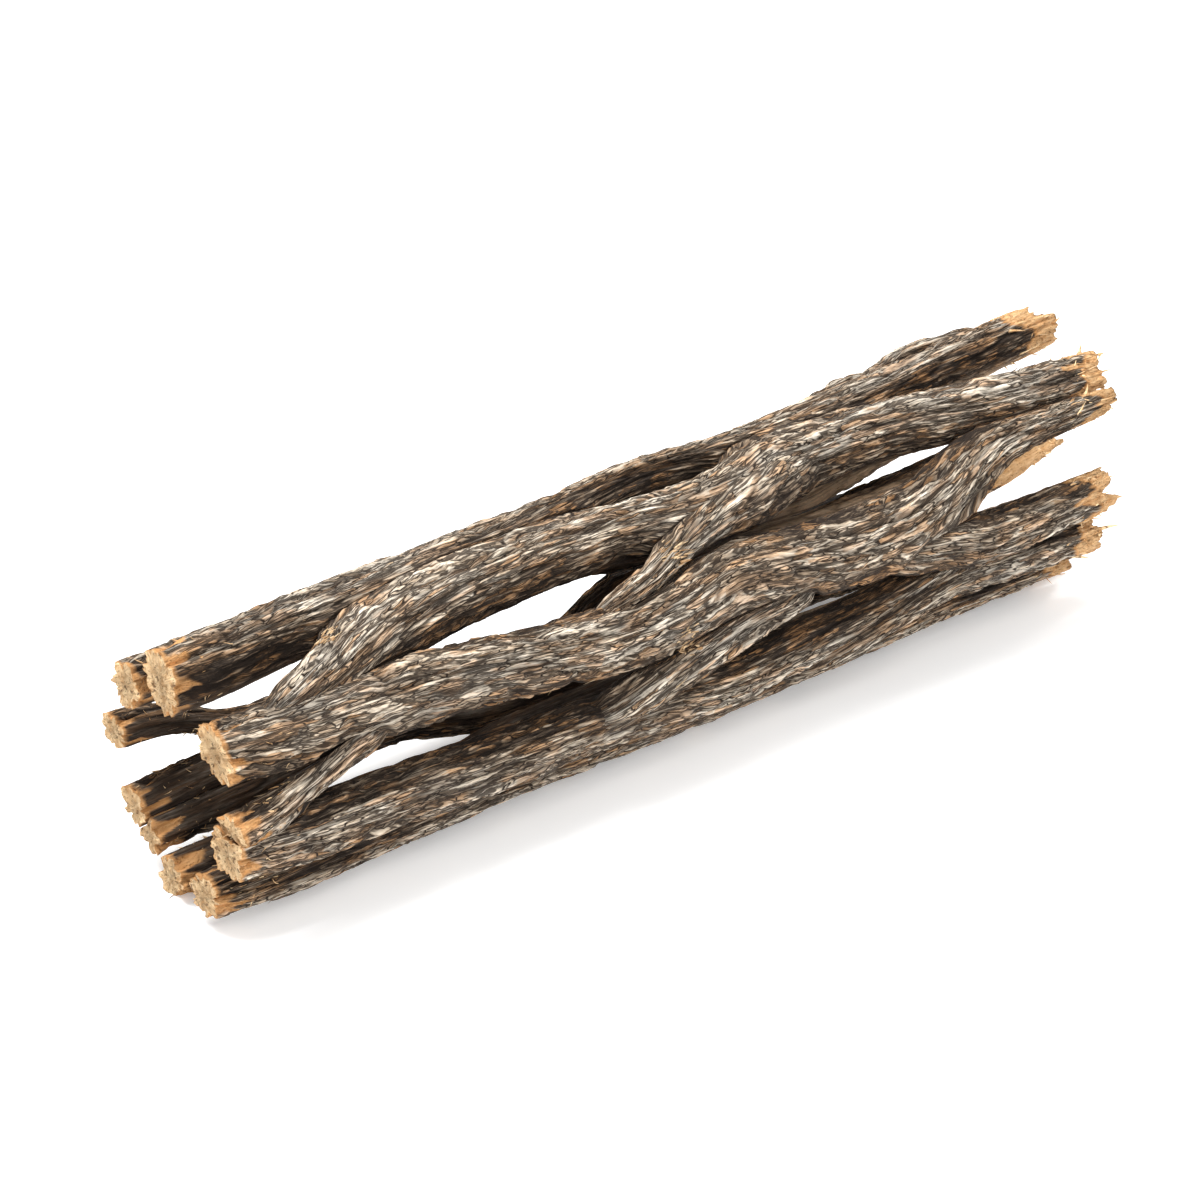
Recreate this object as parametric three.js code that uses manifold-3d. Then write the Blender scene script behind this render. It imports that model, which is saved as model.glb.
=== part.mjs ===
// Cholla cactus skeleton: the hollow wooden net left when a cholla stem dries out.
// Millimetres, +Z up. The stem lies along +X on a flat surface, its broken end towards +X.
//
// Long strands run from end to end in the wall of a slightly tapering tube. They swing from side
// to side, join where they touch and leave lens-shaped windows between them. Shorter links cross
// from one strand to the next. Each strand and each link is one closed solid.

import * as THREE from "three";
import { mergeVertices } from "three/addons/utils/BufferGeometryUtils.js";
import Module from "manifold-3d";

// ---- driving dimensions (mm) ----

const WALL_RADIUS_CUT_END = 16.7; // outer radius of the tube at the sawn end
const WALL_RADIUS_BROKEN_END = 19.6; // outer radius at the broken end
const TAPER_START = -76; // where the taper begins, along the tube
const TAPER_LENGTH = 150;
const AXIS_HEIGHT = 17.1; // the tube's axis above the surface that it lies on
const AXIS_SHIFT = -5.75; // along X, brings the origin to the middle of the whole length
const GAP = 0.3; // clearance cut where two strands meet
const STEP = 5.6; // distance between sections along a strand
const SIDES = 8; // corners of a strand's section
const SQUARENESS = 2.5; // 2 is an ellipse, larger is boxier

// ---- strands ----
// Each row is one section: [along the tube, angle round it in degrees, width round the tube,
// thickness through the wall, lift of the outer face off the tube].
// The angle is 0 at the front (-Y), 90 on top, 180 at the back and 270 underneath.

const STRANDS = {
  front_strand: [
    [-76.8, 43, 8.0, 6.4, 0.2], [-65, 40, 9.0, 6.8, 0], [-50, 37, 8.6, 7.0, 0],
    [-40, 33.5, 7.8, 7.0, 0], [-30, 28.5, 7.6, 6.8, 0], [-20, 25, 8.2, 6.8, 0],
    [-10, 26, 9.0, 7.0, 0.2], [0, 31, 9.6, 7.4, 0.6], [10, 28, 9.0, 7.0, 0.3],
    [20, 24, 9.8, 7.0, 0.3], [30, 25, 9.8, 7.0, 0.2], [37, 30, 9.4, 7.0, 0],
    [43, 38, 8.6, 6.6, 0.2], [49, 44, 6.6, 5.8, 0.4], [55, 45, 4.8, 4.8, 0.3],
    [62, 45, 4.0, 4.0, 0.2], [71, 45, 3.4, 3.4, 0],
  ],
  top_strand: [
    [-76.5, 99, 6.6, 8.6, 1.1], [-68, 101, 7.6, 8.4, 0.9], [-58, 103, 7.6, 7.9, 0.9],
    [-48, 106, 7.4, 7.4, 0.4], [-36, 108, 7.4, 6.7, 0.2], [-24, 109, 7.0, 6.0, -0.1],
    [-12, 111, 6.4, 5.4, 0.4], [0, 112, 5.6, 4.8, 0.7], [8, 111, 5.8, 5.0, 0.2],
    [16, 109, 6.6, 5.6, -0.2], [27, 109, 7.0, 6.0, -0.3], [40, 109, 7.2, 6.2, -0.1],
    [50, 109, 7.4, 6.6, 0.3], [62, 108, 7.6, 6.8, 0.9], [75, 107, 7.0, 6.4, 1.2],
  ],
  upper_front_strand: [
    [-72, 46, 4.4, 4.0, 0], [-65, 51, 6.0, 5.4, 0], [-59, 58, 7.0, 6.6, 0],
    [-54, 65, 7.8, 7.8, 0], [-49, 71, 7.8, 8.2, 0], [-40, 77, 7.8, 7.8, 0],
    [-30, 79, 7.4, 7.8, 0], [-20, 80, 7.2, 7.8, 0], [-10, 77.5, 7.0, 7.8, 0],
    [0, 72.5, 6.6, 7.2, 0], [8, 73, 8.0, 7.0, 0.2], [16, 79, 9.0, 7.4, 0],
    [27, 78, 7.6, 7.8, 0], [36, 76, 7.2, 7.6, 0], [45, 71.5, 7.4, 7.2, 0],
    [55, 66, 7.2, 6.4, 0], [64, 63, 6.4, 6.0, 0], [74.5, 60.5, 5.8, 5.6, 0],
  ],
  lower_front_strand: [
    [-78, -10, 6.4, 6.8, 0.3], [-70, -14, 7.2, 6.8, 0.2], [-62, -16.5, 8.0, 6.8, 0],
    [-50, -17.5, 8.0, 6.8, 0], [-40, -18.5, 7.6, 6.6, 0], [-30, -19, 7.8, 6.6, 0],
    [-20, -20, 7.4, 6.6, 0], [-10, -23, 7.0, 6.6, 0], [0, -26, 6.8, 6.4, 0],
    [10, -24, 7.0, 6.4, -0.2], [20, -21, 7.0, 6.2, -0.4], [30, -15, 6.4, 6.0, -0.6],
    [37, -8, 6.0, 5.8, -0.6], [44, -2, 5.4, 5.6, -0.6], [51, 2, 4.8, 5.0, -0.7],
  ],
  bottom_front_strand: [
    [-77.8, -60, 6.8, 6.0, 0.2], [-70, -57, 7.4, 6.2, 0.4], [-62, -55, 8.2, 6.6, 0.4],
    [-50, -54, 8.6, 6.6, 0.1], [-30, -54, 8.8, 6.6, -0.4], [-10, -55, 8.8, 6.6, -0.4],
    [10, -54, 8.4, 6.2, -0.7], [20, -52, 8.2, 6.0, -0.8], [30, -50, 7.8, 6.0, -1.1],
    [40, -47, 7.4, 5.8, -1.5], [50, -47, 7.0, 5.6, -1.6], [60, -48, 6.4, 5.4, -1.6],
    [66, -49, 6.0, 5.2, -1.6],
  ],
  upper_back_strand: [
    [-76.8, 136, 7.0, 6.0, 0.2], [-66, 134, 6.6, 5.8, 0], [-50, 132, 6.4, 5.6, 0],
    [-34, 133, 6.2, 5.4, 0], [-18, 136, 6.0, 5.2, 0], [-4, 141, 6.2, 5.2, 0],
    [10, 143, 6.2, 5.2, -0.2], [24, 140, 6.0, 5.2, -0.3], [38, 137, 6.2, 5.2, -0.3],
    [52, 137, 6.4, 5.4, 0], [64, 140, 6.2, 5.2, 0], [72, 143, 5.6, 4.8, 0],
  ],
  middle_back_strand: [
    [-76.6, 176, 4.4, 5.0, 0.2], [-70, 180, 3.6, 4.6, 0], [-65, 188, 3.2, 4.0, 0],
    [-60, 196, 3.8, 4.2, 0], [-53, 201, 5.4, 5.0, 0], [-45, 196, 6.0, 5.2, 0],
    [-37, 188, 6.0, 5.2, 0], [-28, 178, 6.0, 5.0, 0], [-14, 174, 5.8, 5.0, 0],
    [-2, 178, 6.0, 5.0, 0], [8, 186, 6.2, 5.2, 0], [20, 190, 6.4, 5.2, 0],
    [30, 192, 6.2, 5.2, 0], [38, 192, 6.0, 5.2, 0], [46, 188, 6.0, 5.0, 0],
    [54, 183, 6.2, 5.0, 0], [62, 178, 6.2, 5.2, 0], [71, 172, 5.6, 4.8, 0],
  ],
  long_back_strand: [
    [-76.2, 219, 6.0, 5.0, 0.2], [-66, 217, 6.0, 5.0, 0], [-56, 216.5, 6.0, 5.2, 0],
    [-46, 211, 5.8, 5.2, 0], [-36, 211, 6.0, 5.2, 0], [-26, 217, 6.0, 5.0, 0],
    [-14, 222, 6.0, 5.0, 0], [-6, 219, 6.2, 5.0, 0], [0, 212, 6.4, 5.0, 0],
    [6, 206, 6.4, 5.2, 0], [13, 203, 6.4, 5.2, 0], [30, 205, 6.2, 5.2, 0],
    [40, 210, 6.2, 5.2, 0], [50, 212.5, 7.0, 5.2, 0], [60, 214, 8.0, 5.2, 0],
    [70, 214, 8.4, 5.0, 0], [80, 212, 7.0, 4.4, -1.0], [89.5, 208, 5.0, 3.4, -1.8],
  ],
  lower_back_strand: [
    [-76, 234, 4.6, 5.0, 0.2], [-66, 233, 5.2, 5.2, 0], [-56, 229, 5.4, 5.2, 0],
    [-45, 225, 5.2, 5.0, 0], [-36, 225, 5.4, 5.0, 0], [-26, 234, 5.8, 5.2, 0],
    [-15, 238, 6.0, 5.2, 0], [-4, 241, 6.2, 5.2, 0], [8, 241, 6.0, 5.2, 0],
    [18, 239, 6.0, 5.2, 0], [28, 237, 6.0, 5.2, 0], [38, 237, 6.0, 5.2, 0],
    [50, 241, 6.0, 5.2, 0], [62, 245, 6.0, 5.2, 0], [70, 248, 5.6, 5.0, 0],
  ],
  underside_strand: [
    [-76.8, 261, 5.8, 5.6, 0.8], [-66, 260, 6.0, 5.4, 0.7], [-56, 263, 6.0, 5.4, 0.3],
    [-45, 267, 6.0, 5.4, 0], [-35, 267, 6.0, 5.4, 0], [-25, 260, 6.2, 5.4, 0],
    [-15, 259, 6.2, 5.4, -0.2], [-4, 259, 6.2, 5.4, -0.4], [8, 262, 6.2, 5.4, -0.7],
    [18, 268, 6.2, 5.4, -0.9], [28, 272, 6.2, 5.4, -1.1], [38, 272, 6.2, 5.4, -1.3],
    [50, 267, 6.2, 5.4, -1.5], [62, 264, 6.2, 5.4, -1.5], [71, 263, 5.8, 5.2, -1.5],
  ],
};

const BRANCHES = {
  right_fork_branch: [
    [26, 14, 6.0, 6.0, -0.4], [34, 10, 6.8, 6.4, 0], [43, 4, 7.2, 6.4, 0],
    [50, 3, 6.8, 6.2, -0.1], [57, 4, 6.2, 5.8, -0.2], [69, 5, 5.8, 5.4, -0.2],
  ],
  ridge_branch: [
    [8, -36, 4.0, 4.4, 0], [16, -29, 4.2, 4.4, 0.1], [24, -21, 4.4, 4.6, 0.2],
    [31, -15, 4.6, 4.6, 0.2], [38, -12, 4.6, 4.8, 0], [45, -14, 4.8, 4.8, -0.2],
    [54, -17, 5.0, 4.8, -0.5], [68, -20, 5.0, 4.8, -0.7],
  ],
  underside_branch: [
    [14, 302, 4.4, 4.4, -1.0], [24, 296, 4.8, 4.8, -1.0], [34, 290, 5.2, 5.0, -1.1],
    [46, 287, 5.4, 5.2, -1.1], [58, 287, 5.4, 5.2, -1.1], [70, 289, 5.2, 5.0, -1.0],
  ],
  upper_link: [
    [-20, 38, 3.2, 4.0, 0], [-12, 44, 3.2, 4.2, 0], [-7, 50, 3.4, 4.4, 0.2],
    [-3, 54, 4.0, 4.8, 0.5], [3, 59, 4.8, 5.2, 0.5], [9, 63, 5.6, 5.4, 0.4],
    [15, 69, 5.2, 5.0, -0.1], [20, 74, 4.4, 4.4, -0.6],
  ],
  middle_link: [
    [-26, -17, 5.0, 5.0, 0], [-18, -9, 5.8, 5.2, 0.2], [-10, -1, 6.2, 5.2, 0.3],
    [-2, 6, 5.6, 5.0, 0], [7, 11, 4.4, 4.4, -0.4], [15, 16, 3.6, 4.0, -0.6],
  ],
  left_link: [
    [-77.6, 3, 4.0, 5.6, 0.1], [-72, 7, 3.8, 4.6, 0.1], [-67, 13.5, 3.6, 4.2, 0],
    [-61, 21.5, 3.6, 4.0, 0], [-53, 27.5, 3.2, 3.8, -0.3],
  ],
  underside_link: [
    [-52, 272, 4.4, 4.4, 0.4], [-43, 278, 4.8, 4.6, 0.5], [-33, 285, 5.0, 4.8, 0.5],
    [-23, 293, 4.8, 4.6, 0], [-13, 299, 4.4, 4.4, -0.3],
  ],
  left_back_link: [
    [-60, 138, 4.0, 4.2, 0], [-52, 145, 4.2, 4.2, 0], [-43, 155, 4.4, 4.2, 0],
    [-34, 166, 4.4, 4.2, 0], [-26, 174, 4.2, 4.2, 0],
  ],
  right_back_link: [
    [8, 182, 4.2, 4.2, 0], [16, 175, 4.4, 4.4, 0], [24, 165, 4.6, 4.4, 0],
    [32, 153, 4.6, 4.4, 0], [40, 143, 4.2, 4.2, 0],
  ],
  knobbly_twig: [
    [30, 118, 3.0, 3.2, -0.4], [36, 121, 3.4, 3.4, -0.1], [41, 123, 3.8, 3.6, 0.4],
    [46, 121, 3.4, 3.4, 0.1], [52, 124, 3.8, 3.8, 1.3], [58, 122, 3.8, 3.8, 1.3],
    [64, 118, 3.6, 3.6, 1.0], [69, 114, 3.2, 3.4, 0.7],
  ],
};

// ---- materials ----

const weatheredWood = (tone) => new THREE.MeshStandardMaterial({
  name: "weathered_wood",
  color: tone,
  roughness: 0.86,
  metalness: 0,
});
const STRAND_TONE = 0x8a7660;
const BRANCH_TONE = 0x9a8468;

// ---- geometry ----

function wallRadius(x) {
  const along = THREE.MathUtils.clamp((x - TAPER_START) / TAPER_LENGTH, 0, 1);
  return THREE.MathUtils.lerp(WALL_RADIUS_CUT_END, WALL_RADIUS_BROKEN_END, along);
}

// The slope of column k at row i, from the rows on either side of it.
function slopeAt(rows, i, k) {
  const before = rows[Math.max(i - 1, 0)];
  const after = rows[Math.min(i + 1, rows.length - 1)];
  return (after[k] - before[k]) / (after[0] - before[0]);
}

// Column k at a place along the tube, on smooth cubic pieces through the rows.
function columnAt(rows, k, place) {
  const x = THREE.MathUtils.clamp(place, rows[0][0], rows[rows.length - 1][0]);
  const next = Math.max(1, rows.findIndex((row) => row[0] >= x));
  const a = rows[next - 1];
  const b = rows[next];
  const span = b[0] - a[0];
  const t = (x - a[0]) / span;
  const rise = (b[k] - a[k]) / span;
  const bendA = slopeAt(rows, next - 1, k) - rise;
  const bendB = rise - slopeAt(rows, next, k);
  const straight = a[k] + (b[k] - a[k]) * t;
  return straight + span * t * (1 - t) * (bendA * (1 - t) + bendB * t);
}

// One closed ring of points: a rounded box in the plane across the tube, leaning with the strand.
function sectionAt(rows, x, grow) {
  const [angle, width, thickness, lift] = [1, 2, 3, 4].map((k) => columnAt(rows, k, x));
  const halfThickness = thickness / 2;
  const middleRadius = wallRadius(x) + lift - halfThickness;
  const step = 0.5;
  const [first, last] = [rows[0][0], rows[rows.length - 1][0]];
  const [x0, x1] = [Math.max(first, x - step), Math.min(last, x + step)];
  const turn = THREE.MathUtils.degToRad(columnAt(rows, 1, x1) - columnAt(rows, 1, x0)) / (x1 - x0);
  const halfWidth = (width / 2 + grow) * Math.hypot(1, turn * middleRadius);
  const ring = [];
  for (let i = 0; i < SIDES; i += 1) {
    const around = ((i + 0.5) / SIDES) * 2 * Math.PI;
    const [c, s] = [Math.cos(around), Math.sin(around)];
    const reach = (Math.abs(c) ** SQUARENESS + Math.abs(s) ** SQUARENESS) ** (-1 / SQUARENESS);
    const radius = middleRadius + (halfThickness + grow) * reach * s;
    const at = THREE.MathUtils.degToRad(angle) + (halfWidth * reach * c) / middleRadius;
    ring.push(new THREE.Vector3(x, -radius * Math.cos(at), radius * Math.sin(at)));
  }
  return ring;
}

// A closed solid from rings of equal count, with a flat fan over each end.
function loft(rings) {
  const count = rings[0].length;
  const ends = [rings[0], rings[rings.length - 1]].map((ring) => {
    const middle = new THREE.Vector3();
    ring.forEach((point) => middle.addScaledVector(point, 1 / count));
    return middle;
  });
  const points = [...rings.flat(), ...ends];
  const [startCentre, endCentre] = [points.length - 2, points.length - 1];
  const lastRow = (rings.length - 1) * count;
  const index = [];
  for (let i = 0; i < count; i += 1) {
    const j = (i + 1) % count;
    for (let row = 0; row < lastRow; row += count) {
      index.push(row + i, row + count + j, row + count + i);
      index.push(row + i, row + j, row + count + j);
    }
    index.push(startCentre, j, i);
    index.push(endCentre, lastRow + i, lastRow + j);
  }
  const geometry = new THREE.BufferGeometry().setFromPoints(points);
  geometry.setIndex(index);
  return geometry;
}

function strandGeometry(rows, grow = 0) {
  const start = rows[0][0] - grow;
  const end = rows[rows.length - 1][0] + grow;
  const steps = Math.max(4, Math.round((end - start) / STEP));
  const rings = [];
  for (let i = 0; i <= steps; i += 1) {
    const x = start + ((end - start) * i) / steps;
    rings.push(sectionAt(rows, x, grow));
  }
  return loft(rings);
}

// ---- solids ----

const wasm = await Module();
wasm.setup();

function toSolid(geometry) {
  const vertProperties = new Float32Array(geometry.getAttribute("position").array);
  const triVerts = new Uint32Array(geometry.getIndex().array);
  return new wasm.Manifold(new wasm.Mesh({ numProp: 3, vertProperties, triVerts }));
}

function toGeometry(solid) {
  const mesh = solid.getMesh();
  const geometry = new THREE.BufferGeometry();
  geometry.setAttribute("position", new THREE.BufferAttribute(mesh.vertProperties, 3));
  geometry.setIndex(new THREE.BufferAttribute(mesh.triVerts, 1));
  return geometry;
}

// A cut can leave a sliver on the far side of the cutter; only the strand itself is kept.
function largestPiece(solid) {
  return solid.decompose().sort((a, b) => b.volume() - a.volume())[0];
}

// The surface that the stem lies on wears the lowest strands flat.
function groundBlock() {
  const block = new THREE.BoxGeometry(220, 60, 10);
  block.deleteAttribute("normal");
  block.deleteAttribute("uv");
  block.translate(0, 0, -AXIS_HEIGHT - 5);
  return mergeVertices(block);
}

// ---- assembly ----

const skeleton = new THREE.Group();
skeleton.name = "cholla_skeleton";
skeleton.position.set(AXIS_SHIFT, 0, AXIS_HEIGHT);

const ground = toSolid(groundBlock());
const cutters = [];

// Each strand gives way to the ones placed before it, so the thick strands stay whole.
function addStrand(name, rows, tone) {
  const whole = toSolid(strandGeometry(rows)).subtract(ground);
  const clear = cutters.reduce((solid, cutter) => solid.subtract(cutter), whole);
  const mesh = new THREE.Mesh(toGeometry(largestPiece(clear)), weatheredWood(tone));
  mesh.name = name;
  skeleton.add(mesh);
  cutters.push(toSolid(strandGeometry(rows, GAP)));
}

Object.entries(STRANDS).forEach(([name, rows]) => addStrand(name, rows, STRAND_TONE));
Object.entries(BRANCHES).forEach(([name, rows]) => addStrand(name, rows, BRANCH_TONE));

export default skeleton;
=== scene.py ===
# %% [markdown]
# # A cholla cactus skeleton
# When a cholla cactus dies, its soft flesh rots away and leaves this: a hollow tube of wood whose wall
# is a net. Long strands run from end to end, swing from side to side, grow together where they touch and
# leave lens-shaped windows where they part. This stem was sawn at one end and broke at the other.
# Each strand is made here as one closed surface around its own spine.

import math

import bpy
import numpy as np
from mathutils import Matrix


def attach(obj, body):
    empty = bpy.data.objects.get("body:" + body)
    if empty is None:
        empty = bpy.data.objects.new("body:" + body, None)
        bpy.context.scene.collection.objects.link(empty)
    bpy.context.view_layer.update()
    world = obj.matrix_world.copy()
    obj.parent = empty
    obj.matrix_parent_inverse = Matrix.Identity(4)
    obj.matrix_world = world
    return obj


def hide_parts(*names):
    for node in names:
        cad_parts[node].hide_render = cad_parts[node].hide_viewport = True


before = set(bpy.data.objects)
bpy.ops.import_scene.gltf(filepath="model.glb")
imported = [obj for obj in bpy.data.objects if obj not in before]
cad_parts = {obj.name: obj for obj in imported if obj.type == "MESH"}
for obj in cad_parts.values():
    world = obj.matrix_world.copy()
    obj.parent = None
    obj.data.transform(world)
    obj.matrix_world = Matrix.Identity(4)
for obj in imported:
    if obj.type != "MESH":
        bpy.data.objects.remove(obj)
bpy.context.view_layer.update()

# %% [markdown]
# ## The tube and its strands
# The strands lie in the wall of a slightly tapering tube, so each one is easiest to describe as it is in
# the solid model: at a few places along the tube, the angle round it, the width, the thickness through
# the wall and how far the outer face stands off the tube. Lengths are in millimetres, angles in degrees,
# with 0 at the front (-Y), 90 on top, 180 at the back and 270 underneath.

# %% Driving sizes
MM = 0.001
RADIUS_CUT_END = 16.7
RADIUS_BROKEN_END = 19.6
TAPER_START = -76.0
TAPER_LENGTH = 150.0
AXIS_HEIGHT = 17.1
AXIS_SHIFT = -5.75
print("tube:", 2 * RADIUS_CUT_END, "mm across at the sawn end,", 2 * RADIUS_BROKEN_END, "at the broken end")

# %% The strands, from end to end
# Each row: along the tube, angle, width, thickness, lift.
STRANDS = {
    "front_strand": [
        (-76.8, 43, 8, 6.4, 0.2), (-65, 40, 9, 6.8, 0), (-50, 37, 8.6, 7, 0), (-40, 33.5, 7.8, 7, 0),
        (-30, 28.5, 7.6, 6.8, 0), (-20, 25, 8.2, 6.8, 0), (-10, 26, 9, 7, 0.2), (0, 31, 9.6, 7.4, 0.6),
        (10, 28, 9, 7, 0.3), (20, 24, 9.8, 7, 0.3), (30, 25, 9.8, 7, 0.2), (37, 30, 9.4, 7, 0),
        (43, 38, 8.6, 6.6, 0.2), (49, 44, 6.6, 5.8, 0.4), (55, 45, 4.8, 4.8, 0.3), (62, 45, 4, 4, 0.2),
        (71, 45, 3.4, 3.4, 0)],
    "top_strand": [
        (-76.5, 99, 6.6, 8.6, 1.1), (-68, 101, 7.6, 8.4, 0.9), (-58, 103, 7.6, 7.9, 0.9),
        (-48, 106, 7.4, 7.4, 0.4), (-36, 108, 7.4, 6.7, 0.2), (-24, 109, 7, 6, -0.1),
        (-12, 111, 6.4, 5.4, 0.4), (0, 112, 5.6, 4.8, 0.7), (8, 111, 5.8, 5, 0.2),
        (16, 109, 6.6, 5.6, -0.2), (27, 109, 7, 6, -0.3), (40, 109, 7.2, 6.2, -0.1),
        (50, 109, 7.4, 6.6, 0.3), (62, 108, 7.6, 6.8, 0.9), (75, 107, 7, 6.4, 1.2)],
    "upper_front_strand": [
        (-72, 46, 4.4, 4, 0), (-65, 51, 6, 5.4, 0), (-59, 58, 7, 6.6, 0), (-54, 65, 7.8, 7.8, 0),
        (-49, 71, 7.8, 8.2, 0), (-40, 77, 7.8, 7.8, 0), (-30, 79, 7.4, 7.8, 0), (-20, 80, 7.2, 7.8, 0),
        (-10, 77.5, 7, 7.8, 0), (0, 72.5, 6.6, 7.2, 0), (8, 73, 8, 7, 0.2), (16, 79, 9, 7.4, 0),
        (27, 78, 7.6, 7.8, 0), (36, 76, 7.2, 7.6, 0), (45, 71.5, 7.4, 7.2, 0), (55, 66, 7.2, 6.4, 0),
        (64, 63, 6.4, 6, 0), (74.5, 60.5, 5.8, 5.6, 0)],
    "lower_front_strand": [
        (-78, -10, 6.4, 6.8, 0.3), (-70, -14, 7.2, 6.8, 0.2), (-62, -16.5, 8, 6.8, 0),
        (-50, -17.5, 8, 6.8, 0), (-40, -18.5, 7.6, 6.6, 0), (-30, -19, 7.8, 6.6, 0),
        (-20, -20, 7.4, 6.6, 0), (-10, -23, 7, 6.6, 0), (0, -26, 6.8, 6.4, 0), (10, -24, 7, 6.4, -0.2),
        (20, -21, 7, 6.2, -0.4), (30, -15, 6.4, 6, -0.6), (37, -8, 6, 5.8, -0.6),
        (44, -2, 5.4, 5.6, -0.6), (51, 2, 4.8, 5, -0.7)],
    "bottom_front_strand": [
        (-77.8, -60, 6.8, 6, 0.2), (-70, -57, 7.4, 6.2, 0.4), (-62, -55, 8.2, 6.6, 0.4),
        (-50, -54, 8.6, 6.6, 0.1), (-30, -54, 8.8, 6.6, -0.4), (-10, -55, 8.8, 6.6, -0.4),
        (10, -54, 8.4, 6.2, -0.7), (20, -52, 8.2, 6, -0.8), (30, -50, 7.8, 6, -1.1),
        (40, -47, 7.4, 5.8, -1.5), (50, -47, 7, 5.6, -1.6), (60, -48, 6.4, 5.4, -1.6),
        (66, -49, 6, 5.2, -1.6)],
    "upper_back_strand": [
        (-76.8, 136, 7, 6, 0.2), (-66, 134, 6.6, 5.8, 0), (-50, 132, 6.4, 5.6, 0),
        (-34, 133, 6.2, 5.4, 0), (-18, 136, 6, 5.2, 0), (-4, 141, 6.2, 5.2, 0),
        (10, 143, 6.2, 5.2, -0.2), (24, 140, 6, 5.2, -0.3), (38, 137, 6.2, 5.2, -0.3),
        (52, 137, 6.4, 5.4, 0), (64, 140, 6.2, 5.2, 0), (72, 143, 5.6, 4.8, 0)],
    "middle_back_strand": [
        (-76.6, 176, 4.4, 5, 0.2), (-70, 180, 3.6, 4.6, 0), (-65, 188, 3.2, 4, 0),
        (-60, 196, 3.8, 4.2, 0), (-53, 201, 5.4, 5, 0), (-45, 196, 6, 5.2, 0), (-37, 188, 6, 5.2, 0),
        (-28, 178, 6, 5, 0), (-14, 174, 5.8, 5, 0), (-2, 178, 6, 5, 0), (8, 186, 6.2, 5.2, 0),
        (20, 190, 6.4, 5.2, 0), (30, 192, 6.2, 5.2, 0), (38, 192, 6, 5.2, 0), (46, 188, 6, 5, 0),
        (54, 183, 6.2, 5, 0), (62, 178, 6.2, 5.2, 0), (71, 172, 5.6, 4.8, 0)],
    "long_back_strand": [
        (-76.2, 219, 6, 5, 0.2), (-66, 217, 6, 5, 0), (-56, 216.5, 6, 5.2, 0), (-46, 211, 5.8, 5.2, 0),
        (-36, 211, 6, 5.2, 0), (-26, 217, 6, 5, 0), (-14, 222, 6, 5, 0), (-6, 219, 6.2, 5, 0),
        (0, 212, 6.4, 5, 0), (6, 206, 6.4, 5.2, 0), (13, 203, 6.4, 5.2, 0), (30, 205, 6.2, 5.2, 0),
        (40, 210, 6.2, 5.2, 0), (50, 212.5, 7, 5.2, 0), (60, 214, 8, 5.2, 0), (70, 214, 8.4, 5, 0),
        (80, 212, 7, 4.4, -1), (89.5, 208, 5, 3.4, -1.8)],
    "lower_back_strand": [
        (-76, 234, 4.6, 5, 0.2), (-66, 233, 5.2, 5.2, 0), (-56, 229, 5.4, 5.2, 0),
        (-45, 225, 5.2, 5, 0), (-36, 225, 5.4, 5, 0), (-26, 234, 5.8, 5.2, 0), (-15, 238, 6, 5.2, 0),
        (-4, 241, 6.2, 5.2, 0), (8, 241, 6, 5.2, 0), (18, 239, 6, 5.2, 0), (28, 237, 6, 5.2, 0),
        (38, 237, 6, 5.2, 0), (50, 241, 6, 5.2, 0), (62, 245, 6, 5.2, 0), (70, 248, 5.6, 5, 0)],
    "underside_strand": [
        (-76.8, 261, 5.8, 5.6, 0.8), (-66, 260, 6, 5.4, 0.7), (-56, 263, 6, 5.4, 0.3),
        (-45, 267, 6, 5.4, 0), (-35, 267, 6, 5.4, 0), (-25, 260, 6.2, 5.4, 0),
        (-15, 259, 6.2, 5.4, -0.2), (-4, 259, 6.2, 5.4, -0.4), (8, 262, 6.2, 5.4, -0.7),
        (18, 268, 6.2, 5.4, -0.9), (28, 272, 6.2, 5.4, -1.1), (38, 272, 6.2, 5.4, -1.3),
        (50, 267, 6.2, 5.4, -1.5), (62, 264, 6.2, 5.4, -1.5), (71, 263, 5.8, 5.2, -1.5)],
}

# %% [markdown]
# ## Branches and links
# Where two strands part, a window begins, and where a branch or a link crosses from one strand to the
# next, it ends. They are described in the same way, so that one function can make them all.

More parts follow.
